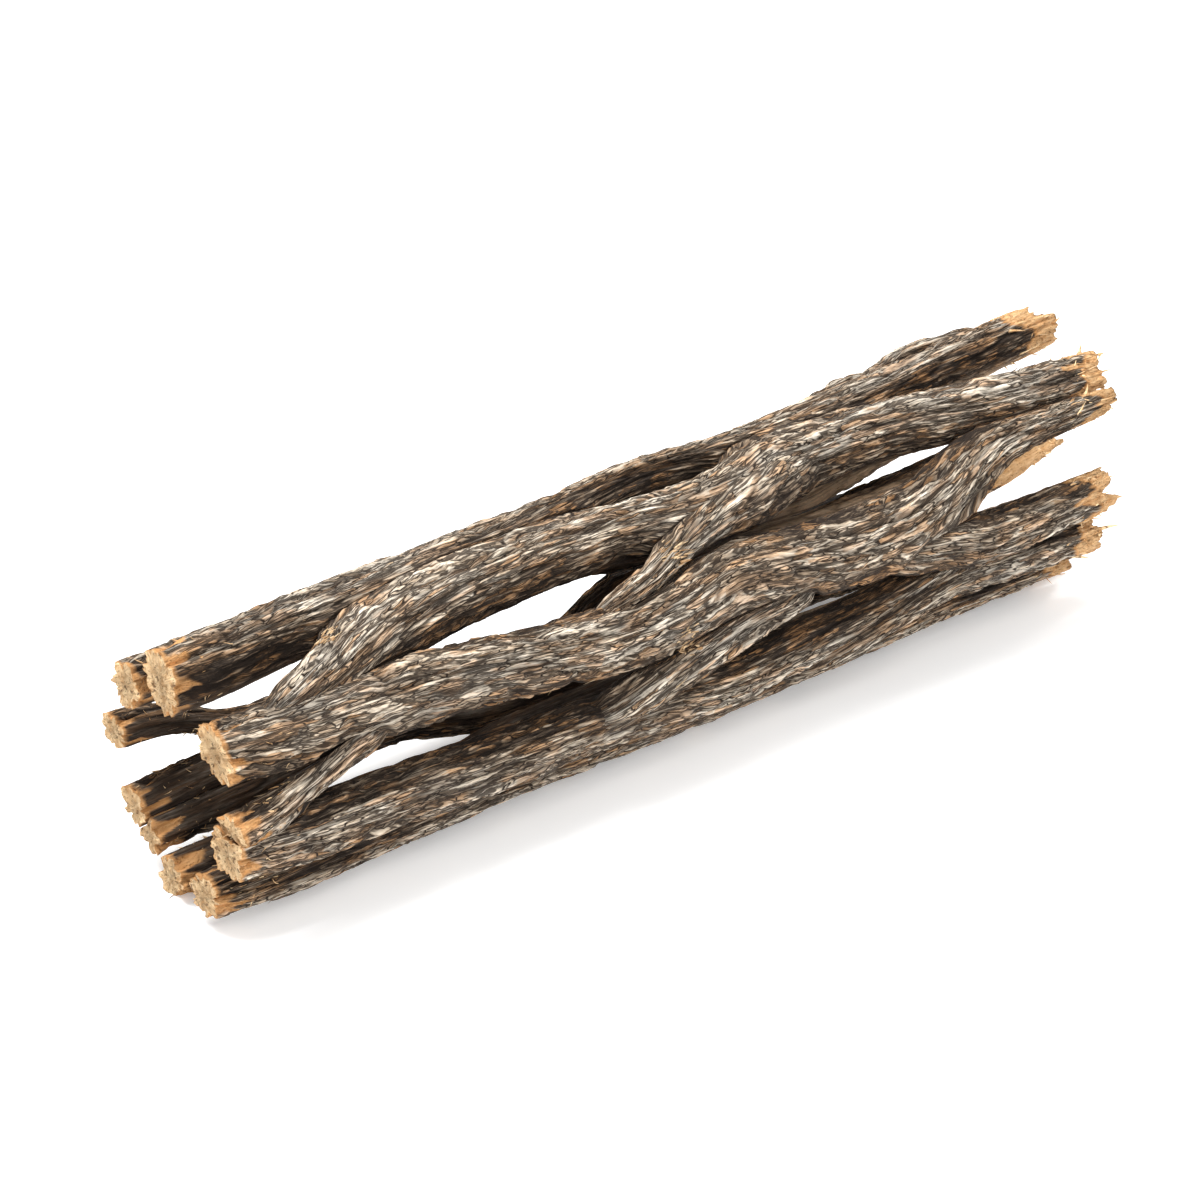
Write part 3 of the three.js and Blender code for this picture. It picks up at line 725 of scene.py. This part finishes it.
# %% Mesh of a grid
def grid_mesh(name, places, masks, girth):
    """Quads between neighbouring rows and columns, and two poles at the middles of the end rings. The
    order of corners is turned if the enclosed volume is negative."""
    rows, columns = places.shape[:2]
    vertices = np.vstack([places.reshape(-1, 3), places[0].mean(0), places[-1].mean(0)])
    quads, i, j = wrapped_quads(rows, columns)
    ring = np.arange(columns)
    onward = (ring + 1) % columns
    last = (rows - 1) * columns
    poles = [np.stack([np.full(columns, rows * columns), onward, ring], -1),
             np.stack([np.full(columns, rows * columns + 1), last + ring, last + onward], -1)]

    # The share of the way round and along of every corner, for the UV maps.
    step = np.linalg.norm(np.diff(places, axis=0), axis=2).mean(1)
    along = np.r_[0, np.cumsum(step)]
    share = np.stack([np.stack([j, j + 1, j + 1, j], -1) / columns,
                      along[np.stack([i, i, i + 1, i + 1], -1)] / along[-1]], -1).reshape(-1, 2)
    for pole_v, at in ((0.0, [ring + 0.5, ring + 1, ring]), (1.0, [ring + 0.5, ring, ring + 1])):
        fan = np.stack([np.stack(at, -1) / columns, np.full((columns, 3), pole_v)], -1)
        share = np.vstack([share, fan.reshape(-1, 2)])

    corners = np.concatenate([quads.ravel(), poles[0].ravel(), poles[1].ravel()])
    sides = np.r_[np.full(len(quads), 4), np.full(2 * columns, 3)]
    a, b, c = (vertices[quads[:, k]] for k in range(3))
    if (a * np.cross(b, c)).sum() < 0:
        order = np.concatenate([np.tile([3, 1, -1, -3], len(quads)), np.tile([2, 0, -2], 2 * columns)])
        order = order + np.arange(len(corners))
        corners, share = corners[order], share[order]
    uv_maps = {"grain": share * [girth, along[-1]], "OFBake": share}
    marks = {key: np.r_[values.ravel(), values[0].mean(), values[-1].mean()]
             for key, values in masks.items()}
    return make_piece(name, vertices, corners, sides, uv_maps, marks)


# %% Make the strands
GRIDS = {}
PIECES = {}
for number, name in enumerate(SPINES):
    GRIDS[name] = strand_grid(name, SEED + number)
    PIECES[name] = grid_mesh(name + "_wood", *GRIDS[name])
faces = {name: len(piece.data.polygons) * 2 for name, piece in PIECES.items()}
print("triangles:", sum(faces.values()), "largest:", max(faces.values()))

# %% [markdown]
# ## Slivers of wood
# A saw leaves short bristles round the rim of each cut, and a break leaves longer splinters. Each one is
# a thin tapered sliver that bends a little. Blender's hair could make them too, but every piece here
# has to be a mesh. All the slivers of one kind are worked out together as one array.

# %% Slivers
SLIVER_RINGS = 5
SLIVER_SIDES = 4
SLIVER_FLATNESS = 0.45
SIDE_LIMIT = RADIUS_BROKEN_END + 0.3
ABOVE_TABLE = 0.05


def sliver_mesh(name, roots, ways, bends, lengths, widths, age, draw):
    """Slivers from their roots: the middle line is root + way * s * length + bend * s^2 * length for s
    from 0 to 1, and the section is a flat diamond whose size falls as (1 - s)^0.7 to a fine tip. Those
    that would stick out past the side of the tube are left out."""
    kept = np.abs(roots + (ways + bends) * lengths[:, None])[:, 1] < SIDE_LIMIT
    roots, ways, bends, lengths, widths = (given[kept] for given in (roots, ways, bends, lengths, widths))
    s = np.linspace(0, 1, SLIVER_RINGS)[None, :, None]
    line = roots[:, None] + (ways[:, None] * s + bends[:, None] * s * s) * lengths[:, None, None]
    side = np.cross(ways, draw.normal(size=ways.shape))
    side /= np.linalg.norm(side, axis=1, keepdims=True)
    other = np.cross(ways, side)
    size = widths[:, None, None] * (0.06 + 0.94 * (1 - s) ** 0.7)
    turn = 2 * math.pi * np.arange(SLIVER_SIDES) / SLIVER_SIDES
    ring = (side[:, None, None] * np.cos(turn)[None, None, :, None]
            + SLIVER_FLATNESS * other[:, None, None] * np.sin(turn)[None, None, :, None])
    places = line[:, :, None] + ring * size[..., None] / 2
    places[..., 2] = np.maximum(places[..., 2], ABOVE_TABLE)
    count = len(roots)
    block = SLIVER_RINGS * SLIVER_SIDES
    ends = np.array([[3, 2, 1, 0], [block - 4, block - 3, block - 2, block - 1]])
    quads = np.vstack([wrapped_quads(SLIVER_RINGS, SLIVER_SIDES)[0], ends])
    quads = (quads[None] + block * np.arange(count)[:, None, None]).reshape(-1, 4)
    marks = {"shade": np.repeat(draw.random(count), block), "age": np.full(count * block, age)}
    return make_piece(name, places.reshape(-1, 3), quads.ravel(), np.full(len(quads), 4), {}, marks)


def outward(places):
    """Unit directions out of a strand's grid: from the middle of each row to its points."""
    out = places - places.mean(1, keepdims=True)
    return out / np.linalg.norm(out, axis=2, keepdims=True)


def jitter_ways(ways, amount, draw):
    """Directions turned a little at random, made unit again."""
    ways = ways + amount * draw.normal(size=ways.shape)
    return ways / np.linalg.norm(ways, axis=1, keepdims=True)


# %% Bristles on the cut faces and splinters on the broken ends
ALONG = np.array([1.0, 0, 0])
RIM_ROWS = 26
END_SPREAD = 0.22


def end_slivers(name, kind, step, per_strand, length_range, width_range, seed):
    """Slivers rooted in the rows near one end of each strand that ends in this way. The step is 1 for
    rows counted from the start and -1 from the end. Lengths favour the short ones: short + (long - short)
    * u^2.5 for an even random u."""
    draw = np.random.default_rng(seed)
    picked = []
    for strand, (places, _, _) in GRIDS.items():
        if ENDS[strand][0 if step > 0 else 1] != kind:
            continue
        rows = step * (CAP_ROWS + draw.integers(0, RIM_ROWS, per_strand))
        columns = draw.integers(0, places.shape[1], per_strand)
        out = outward(places)[rows, columns]
        picked.append(np.stack([places[rows, columns] - 0.15 * out, out], 1))
    picked = np.concatenate(picked)
    ways = jitter_ways(-step * ALONG + END_SPREAD * picked[:, 1], END_SPREAD, draw)
    (short, long), (thin, thick) = length_range, width_range
    lengths = short + (long - short) * draw.random(len(ways)) ** 2.5
    widths = thin + (thick - thin) * draw.random(len(ways))
    bends = 0.3 * draw.normal(size=ways.shape)
    return sliver_mesh(name, picked[:, 0], ways, bends, lengths, widths, 0.0, draw)


cut_bristles = end_slivers("cut_bristles", "sawn", 1, 110, (0.3, 1.3), (0.12, 0.34), 501)
break_splinters = end_slivers("break_splinters", "broken", -1, 60, (0.7, 2.8), (0.25, 0.7), 502)
print("bristles and splinters:", len(cut_bristles.data.polygons), len(break_splinters.data.polygons), "faces")

# %% [markdown]
# ## Lifted splinters
# Dry wood splits along its grain, and here and there the tip of a split lifts off the face. These
# slivers lie along the strands, close to the skin, and share the strands' greys.

# %% Splinters lifting off the weathered faces
ROWS_OFF_CUT = 8
ROWS_OFF_BREAK = 30
GRAIN_STEP = 6


def lifted_slivers(name, count, seed):
    """Slivers that leave the skin at a low angle, spread over all the strands by their length."""
    draw = np.random.default_rng(seed)
    names = list(GRIDS)
    weight = np.array([GRIDS[strand][0].shape[0] for strand in names], float)
    chosen = draw.choice(len(names), count, p=weight / weight.sum())
    roots, ways = [], []
    for index, strand in enumerate(names):
        places = GRIDS[strand][0]
        amount = int((chosen == index).sum())
        rows = draw.integers(CAP_ROWS + ROWS_OFF_CUT, len(places) - CAP_ROWS - ROWS_OFF_BREAK, amount)
        columns = draw.integers(0, places.shape[1], amount)
        out = outward(places)[rows, columns]
        onward = places[rows + GRAIN_STEP, columns] - places[rows - GRAIN_STEP, columns]
        onward /= np.linalg.norm(onward, axis=1, keepdims=True)
        facing = np.where(draw.random((amount, 1)) < 0.5, -1.0, 1.0)
        roots.append(places[rows, columns] - 0.12 * out)
        ways.append(onward * facing + 0.16 * out)
    roots, ways = np.concatenate(roots), jitter_ways(np.concatenate(ways), 0.05, draw)
    lengths = 0.6 + 1.8 * draw.random(len(roots)) ** 2
    widths = 0.14 + 0.24 * draw.random(len(roots))
    return sliver_mesh(name, roots, ways, 0.1 * draw.normal(size=ways.shape), lengths, widths, 0.8, draw)


lifted_splinters = lifted_slivers("lifted_splinters", 1000, 503)
print("lifted splinters:", len(lifted_splinters.data.polygons), "faces")

# %% [markdown]
# ## Tufts in the crotches
# Where two strands part, the last fibres between them tear and stay behind as a small tuft. Their roots
# are picked from the points of the skin near each crotch, so they always start on the wood.

# %% Torn fibres
# Each row: along the tube, angle round it in degrees, and which way the torn fibres point.
TUFTS = [(-57, 78, 1), (-8, 52, 1), (-9, 14, -1)]
TUFT_REACH = 2.2


def crotch_tufts(name, per_tuft, seed):
    """Short torn fibres rooted in the skin close to each of the places above."""
    draw = np.random.default_rng(seed)
    skin, out = (np.concatenate([of(grid[0])[CAP_ROWS:-CAP_ROWS].reshape(-1, 3)
                                 for grid in GRIDS.values()]) for of in (np.asarray, outward))
    roots, ways = [], []
    for x, angle, facing in TUFTS:
        angle = math.radians(angle)
        radius = wall_radius(x)
        spot = np.array([x + AXIS_SHIFT, -radius * math.cos(angle), radius * math.sin(angle) + AXIS_HEIGHT])
        near = np.flatnonzero(np.linalg.norm(skin - spot, axis=1) < TUFT_REACH)
        near = draw.choice(near, per_tuft)
        roots.append(skin[near] - 0.1 * out[near])
        ways.append(facing * ALONG + 0.25 * out[near])
    roots, ways = np.concatenate(roots), jitter_ways(np.concatenate(ways), 0.16, draw)
    lengths = 0.6 + 1.0 * draw.random(len(roots))
    widths = 0.25 + 0.3 * draw.random(len(roots))
    return sliver_mesh(name, roots, ways, 0.1 * draw.normal(size=ways.shape), lengths, widths, 0.45, draw)


crotch_fibres = crotch_tufts("crotch_fibres", 60, 504)
SLIVERS = [cut_bristles, break_splinters, lifted_splinters, crotch_fibres]
print("torn fibres:", len(crotch_fibres.data.polygons), "faces")

# %% [markdown]
# ## Colours of old wood
# Sunlight bleaches the ridges to a pale grey-brown, and the cracks and the seams between strands are
# darkened as painted shade, so tone follows relief; the sides of each strand are painted darker as shade
# too. Where the surface has flaked lately it is orange-tan, the inner faces are a darker brown with painted
# shade deep inside and painted light near the broken end, and the cut and torn ends show raw tan wood.
# Colours are written as they look on a screen and turned into the linear values that the shader needs.

# %% Colour and node helpers
def paint(red, green, blue):
    """Screen colour, 0 to 255, as a linear colour with full alpha: each share to the power 2.2."""
    return tuple((value / 255) ** 2.2 for value in (red, green, blue)) + (1.0,)


def add_node(tree, kind, inputs=(), **settings):
    """A new node with its settings, and its inputs given by name or number as values or as links."""
    made = tree.nodes.new(kind)
    for key, value in settings.items():
        setattr(made, key, value)
    for key, value in dict(inputs).items():
        if isinstance(value, bpy.types.NodeSocket):
            tree.links.new(value, made.inputs[key])
        else:
            made.inputs[key].default_value = value
    return made


def calculate(tree, operation, *values, clamp=False):
    """The result of one Math node."""
    return add_node(tree, "ShaderNodeMath", dict(enumerate(values)), operation=operation,
                    use_clamp=clamp).outputs[0]


def chain(tree, operation, first, *others):
    """One operation carried on through several values, such as their sum or the greatest of them."""
    for other in others:
        first = calculate(tree, operation, first, other)
    return first


def times(tree, a, b, clamp=False):
    """The product of two values."""
    return calculate(tree, "MULTIPLY", a, b, clamp=clamp)


def fade(tree, value, low, high, smooth=True):
    """0 where the value is at low and 1 where it is at high, which may be the smaller one; between them
    a smooth step or a straight line."""
    return add_node(tree, "ShaderNodeMapRange", {0: value, 1: low, 2: high},
                    interpolation_type="SMOOTHSTEP" if smooth else "LINEAR").outputs[0]


def vector_maths(tree, operation, vector, other):
    """The result of one Vector Math node with a second vector, or with a scale."""
    key = "Scale" if operation == "SCALE" else 1
    return add_node(tree, "ShaderNodeVectorMath", {0: vector, key: other}, operation=operation).outputs[0]


def blend_colour(tree, amount, below, above):
    """The result of one colour Mix node, from below to above by amount."""
    return add_node(tree, "ShaderNodeMix", {0: amount, 6: below, 7: above}, data_type="RGBA").outputs[2]


# %% Node group helpers
SOCKET_KINDS = {type(None): "NodeSocketVector", float: "NodeSocketFloat", tuple: "NodeSocketColor"}


def new_group(name, inputs):
    """A node group with inputs by name: None makes a vector, a number a value, four numbers a colour.
    Returns its tree and the input sockets, ready to be wired up inside."""
    tree = bpy.data.node_groups.new(name, "ShaderNodeTree")
    for label, value in inputs.items():
        socket = tree.interface.new_socket(label, in_out="INPUT", socket_type=SOCKET_KINDS[type(value)])
        if value is not None:
            socket.default_value = value
    return tree, tree.nodes.new("NodeGroupInput").outputs


def close_group(tree, outputs):
    """Gives the group its outputs by name, for colours and values that were worked out inside it."""
    for label, socket in outputs.items():
        kind = "NodeSocketColor" if socket.type == "RGBA" else "NodeSocketFloat"
        tree.interface.new_socket(label, in_out="OUTPUT", socket_type=kind)
    result = tree.nodes.new("NodeGroupOutput")
    for label, socket in outputs.items():
        tree.links.new(socket, result.inputs[label])
    print(tree.name, "gives", ", ".join(outputs))
    return tree


def place_group(tree, group, inputs):
    """The outputs of a node that holds a group."""
    return add_node(tree, "ShaderNodeGroup", inputs, node_tree=group).outputs


def squeeze(tree, given):
    """The group's Vector over its Width across the grain and over its Length along it."""
    across, along = (calculate(tree, "DIVIDE", 1.0, given[size]) for size in ("Width", "Length"))
    scale = add_node(tree, "ShaderNodeCombineXYZ", {0: across, 1: along, 2: 1.0}).outputs[0]
    return vector_maths(tree, "MULTIPLY", given["Vector"], scale)


# %% [markdown]
# ## Fine grain
# Between the modelled furrows the wood is made of fibres a few tenths of a millimetre wide. Noise on the
# grain map, squeezed across and stretched along, gives them. The same noise where it is low gives short
# dark dashes, and where it passes its middle value it gives long thin lines.

# %% Group: fine grain
def make_grain_group():
    """Noise of the squeezed place; dashes fade in below 0.46, and lines within 0.07 of 0.5."""
    tree, given = new_group("fine_grain", {"Vector": None, "Width": 0.3, "Length": 3.0, "Roughness": 0.6})
    noise = add_node(tree, "ShaderNodeTexNoise",
                     {"Vector": squeeze(tree, given), "Scale": 1.0, "Detail": 3.0, "Distortion": 0.6,
                      "Roughness": given["Roughness"]}).outputs[0]
    from_middle = calculate(tree, "ABSOLUTE", calculate(tree, "SUBTRACT", noise, 0.5))
    return close_group(tree, {"Height": noise, "Dashes": fade(tree, noise, 0.46, 0.36),
                              "Lines": fade(tree, from_middle, 0.07, 0.02)})


FINE_GRAIN = make_grain_group()

# %% [markdown]
# ## Bark flakes
# The skin breaks up into small flakes, longer than they are wide, some grey and some freshly orange. A
# Voronoi texture gives each cell a colour of its own, and the distance to its edge gives a dark outline.
# The place is warped by a soft noise first, so that no edge runs straight.

# %% Group: bark flakes
def make_flake_group():
    """Voronoi cells of the squeezed place plus Warp times a noise: two random numbers for each cell,
    and a line that fades in within 0.13 of its edge."""
    tree, given = new_group("bark_flakes", {"Vector": None, "Width": 0.4, "Length": 1.4, "Warp": 0.9})
    squeezed = squeeze(tree, given)
    sway = add_node(tree, "ShaderNodeTexNoise", {"Vector": squeezed, "Scale": 0.8, "Detail": 2.0}).outputs[1]
    centred = vector_maths(tree, "SUBTRACT", sway, (0.5, 0.5, 0.5))
    warped = vector_maths(tree, "ADD", squeezed, vector_maths(tree, "SCALE", centred, given["Warp"]))
    cells, border = (add_node(tree, "ShaderNodeTexVoronoi", {"Vector": warped, "Scale": 1.0},
                              voronoi_dimensions="2D", feature=feature).outputs
                     for feature in ("F1", "DISTANCE_TO_EDGE"))
    numbers = add_node(tree, "ShaderNodeSeparateColor", {0: cells["Color"]}).outputs
    return close_group(tree, {"Tone": numbers[0], "Kind": numbers[1],
                              "Edge": fade(tree, border["Distance"], 0.13, 0.03)})


BARK_FLAKES = make_flake_group()

# %% [markdown]
# ## Raw wood
# Where the saw or the break has opened the wood it is tan and soft, with blotches, small brown pores and
# crumbled pits. It shows on the strands' ends and on every sliver, so it is a group that both finishes
# share. Its patterns read the place on the object, because a cut face has no grain map of its own.

# %% Group: raw wood
PORE_BROWN = paint(120, 82, 48)
PIT_BROWN = paint(92, 60, 36)


def make_raw_group():
    """Pale and dark tan by 0.7 times a blotch noise plus 0.45 times the grain, then brown pores where a
    Voronoi distance is small and darker pits where a second noise is low."""
    tree, given = new_group("raw_wood", {"Vector": None, "Grain": 0.5, "Pale": paint(250, 218, 170),
                                         "Deep": paint(196, 150, 102)})
    blotch, hollow = (add_node(tree, "ShaderNodeTexNoise",
                               {"Vector": given["Vector"], "Scale": scale, "Detail": detail}).outputs[0]
                      for scale, detail in ((900.0, 3.0), (1100.0, 2.0)))
    distance = add_node(tree, "ShaderNodeTexVoronoi", {"Vector": given["Vector"], "Scale": 2600.0},
                        feature="F1").outputs["Distance"]
    pores = fade(tree, distance, 0.32, 0.12)
    pits = fade(tree, hollow, 0.4, 0.3)
    both = calculate(tree, "ADD", times(tree, blotch, 0.7), times(tree, given["Grain"], 0.45))
    colour = blend_colour(tree, fade(tree, both, 0.38, 0.78, smooth=False), given["Deep"], given["Pale"])
    colour = blend_colour(tree, times(tree, pores, 0.55), colour, PORE_BROWN)
    colour = blend_colour(tree, times(tree, pits, 0.75), colour, PIT_BROWN)
    return close_group(tree, {"Color": colour, "Pores": calculate(tree, "MAXIMUM", pores, pits)})


RAW_WOOD = make_raw_group()

# %% [markdown]
# ## The weathered finish
# One finish covers every strand from its bleached ridges to its raw ends. The base is a ramp from dark
# to pale by tone: the strand's own mask, which carries painted shade on the sides and inner faces, plus
# grain, streaks and flakes. Over it go orange flakes, the browner inner faces, dark lines, painted shade in
# the cracks and seams and at last the raw wood, each by its own mask. The inner faces are painted darkest
# deep inside, as painted shade, and paler where the light comes in at the broken end, as painted light.

# %% Material: weathered wood
TONE_RAMP = {0.0: (44, 36, 30), 0.2: (98, 82, 67), 0.42: (168, 146, 122), 0.64: (216, 197, 173),
             0.95: (240, 227, 208)}
FRESH_FLAKE = paint(206, 152, 100)
# Inner faces: brown wood, painted as shade deep inside and as light towards the broken end.
INNER_BROWN_PAINTED_SHADE = paint(54, 37, 26)
INNER_TAN_PAINTED_LIGHT = paint(226, 194, 160)
INNER_PAINTED_LIGHT_FROM = 0.012
INNER_PAINTED_LIGHT_AT = 0.034
LINE_BROWN = paint(48, 38, 30)
# Painted shade for the cracks and the seams between strands.
CRACK_PAINTED_SHADE = paint(34, 26, 20)
ORANGE_STAIN = paint(204, 142, 82)


def read_mark(tree, key):
    """A number stored on the vertices."""
    return add_node(tree, "ShaderNodeAttribute", attribute_name=key).outputs["Fac"]


def ramp_colour(tree, value, ramp):
    """The colour at the value along a ramp of screen colours."""
    made = add_node(tree, "ShaderNodeValToRGB", {0: value})
    stops = made.color_ramp.elements
    first, *between, last = ramp
    stops[0].position, stops[1].position = first, last
    for position in between:
        stops.new(position)
    for stop, colour in zip(stops, ramp.values()):
        stop.color = paint(*colour)
    return made.outputs[0]


def make_weathered_wood():
    """Colour: the ramp by the sum of the tones, then each layer blended over it by its mask. Bump: grain
    and flakes less the dark lines, and less the pores where the wood is raw."""
    material, tree, shader = new_material("weathered_wood_finish",
                                          {"Roughness": 0.88, "Specular IOR Level": 0.3})
    place = add_node(tree, "ShaderNodeTexCoord").outputs["Object"]
    grain_map = add_node(tree, "ShaderNodeUVMap", uv_map="grain").outputs[0]
    flecks = place_group(tree, FINE_GRAIN, {"Vector": grain_map, "Width": 0.17, "Length": 2.6})
    streaks = place_group(tree, FINE_GRAIN, {"Vector": grain_map, "Width": 0.5, "Length": 7.0})
    flakes = place_group(tree, BARK_FLAKES,
                         {"Vector": grain_map, "Width": 0.42, "Length": 3.0, "Warp": 1.6})

    tones = [calculate(tree, "MULTIPLY_ADD", pattern, gain, shift)
             for pattern, gain, shift in ((flecks["Height"], 1.0, -0.46), (streaks["Height"], 1.1, -0.51),
                                          (flakes["Tone"], 0.22, -0.08))]
    # The tone mark brings the painted shade of the sides and inner faces into the ramp.
    colour = ramp_colour(tree, chain(tree, "ADD", *tones, read_mark(tree, "tone")), TONE_RAMP)
    fresh = chain(tree, "MAXIMUM", read_mark(tree, "rust"),
                  fade(tree, flakes["Kind"], 0.74, 0.82, smooth=False))
    colour = blend_colour(tree, times(tree, fresh, 0.55), colour, FRESH_FLAKE)

    # Painted shade and light on the inner faces: dark deep in the tube, pale towards the broken end.
    along = add_node(tree, "ShaderNodeSeparateXYZ", {0: place}).outputs[0]
    inner_painted_light = fade(tree, along, INNER_PAINTED_LIGHT_FROM, INNER_PAINTED_LIGHT_AT, smooth=False)
    inner = read_mark(tree, "inner")
    colour = blend_colour(tree, times(tree, inner, 0.82), colour,
                          blend_colour(tree, inner_painted_light, INNER_BROWN_PAINTED_SHADE, INNER_TAN_PAINTED_LIGHT))

    sheltered = fade(tree, streaks["Height"], 0.64, 0.44, smooth=False)
    lines = chain(tree, "MAXIMUM", times(tree, flecks["Dashes"], 0.5),
                  times(tree, flakes["Edge"], sheltered), times(tree, streaks["Lines"], 0.9))
    lines = times(tree, lines, calculate(tree, "SUBTRACT", 1.0, times(tree, inner, 0.7)))
    colour = blend_colour(tree, lines, colour, LINE_BROWN)
    # Painted shade: the cracks and seams darkened by the crack mask.
    colour = blend_colour(tree, times(tree, read_mark(tree, "crack_shade"), 0.82, clamp=True), colour, CRACK_PAINTED_SHADE)

    # The mask "raw" is 1 on a cut or torn face and less round the rim, where the wood is stained.
    raw = place_group(tree, RAW_WOOD, {"Vector": place, "Grain": streaks["Height"]})
    bare = read_mark(tree, "raw")
    stained = blend_colour(tree, 0.75, raw["Color"], ORANGE_STAIN)
    opened = blend_colour(tree, fade(tree, bare, 0.8, 1.0, smooth=False), stained, raw["Color"])
    colour = blend_colour(tree, times(tree, bare, 1.2, clamp=True), colour, opened)
    tree.links.new(colour, shader.inputs["Base Color"])

    height = calculate(tree, "ADD", flecks["Height"], times(tree, flakes["Tone"], 0.35))
    height = chain(tree, "SUBTRACT", height, times(tree, lines, 0.8), times(tree, raw["Pores"], bare))
    bump = add_node(tree, "ShaderNodeBump", {"Strength": 0.8, "Distance": 0.0004, "Height": height})
    tree.links.new(bump.outputs[0], shader.inputs["Normal"])
    return material


WEATHERED_WOOD = make_weathered_wood()
print("weathered wood:", len(WEATHERED_WOOD.node_tree.nodes), "nodes")

# %% [markdown]
# ## The finish of the slivers
# A sliver from a fresh cut is raw tan wood, and one that lifted off a face years ago is as grey as the
# face. Its age, from 0 to 1, blends the two, and each sliver has a shade of its own.

# %% Material: pale wood
DARK_GREY = paint(78, 64, 52)
PALE_GREY = paint(158, 136, 112)


def make_pale_wood():
    """Colour: raw wood blended by age to a grey that goes by the sliver's shade. Bump: the pores."""
    material, tree, shader = new_material("pale_wood_finish", {"Roughness": 0.8, "Specular IOR Level": 0.3})
    place = add_node(tree, "ShaderNodeTexCoord").outputs["Object"]
    shade = read_mark(tree, "shade")
    raw = place_group(tree, RAW_WOOD, {"Vector": place, "Grain": shade})
    grey = blend_colour(tree, shade, DARK_GREY, PALE_GREY)
    tree.links.new(blend_colour(tree, read_mark(tree, "age"), raw["Color"], grey),
                   shader.inputs["Base Color"])
    bump = add_node(tree, "ShaderNodeBump", {"Strength": 0.3, "Distance": 0.00005, "Height": raw["Pores"]})
    tree.links.new(bump.outputs[0], shader.inputs["Normal"])
    return material


PALE_WOOD = make_pale_wood()
print("pale wood:", len(PALE_WOOD.node_tree.nodes), "nodes")

# %% [markdown]
# ## Fitting the pieces to the frame
# The stem is one rigid body, so every piece rides on "root". Each grown strand stands for the solid of
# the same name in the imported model.

# %% Ride, replace and finish
for name, piece in PIECES.items():
    piece.data.materials.append(WEATHERED_WOOD)
    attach(piece, "root")
    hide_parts(name)

for piece in SLIVERS:
    piece.data.materials.append(PALE_WOOD)
    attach(piece, "root")
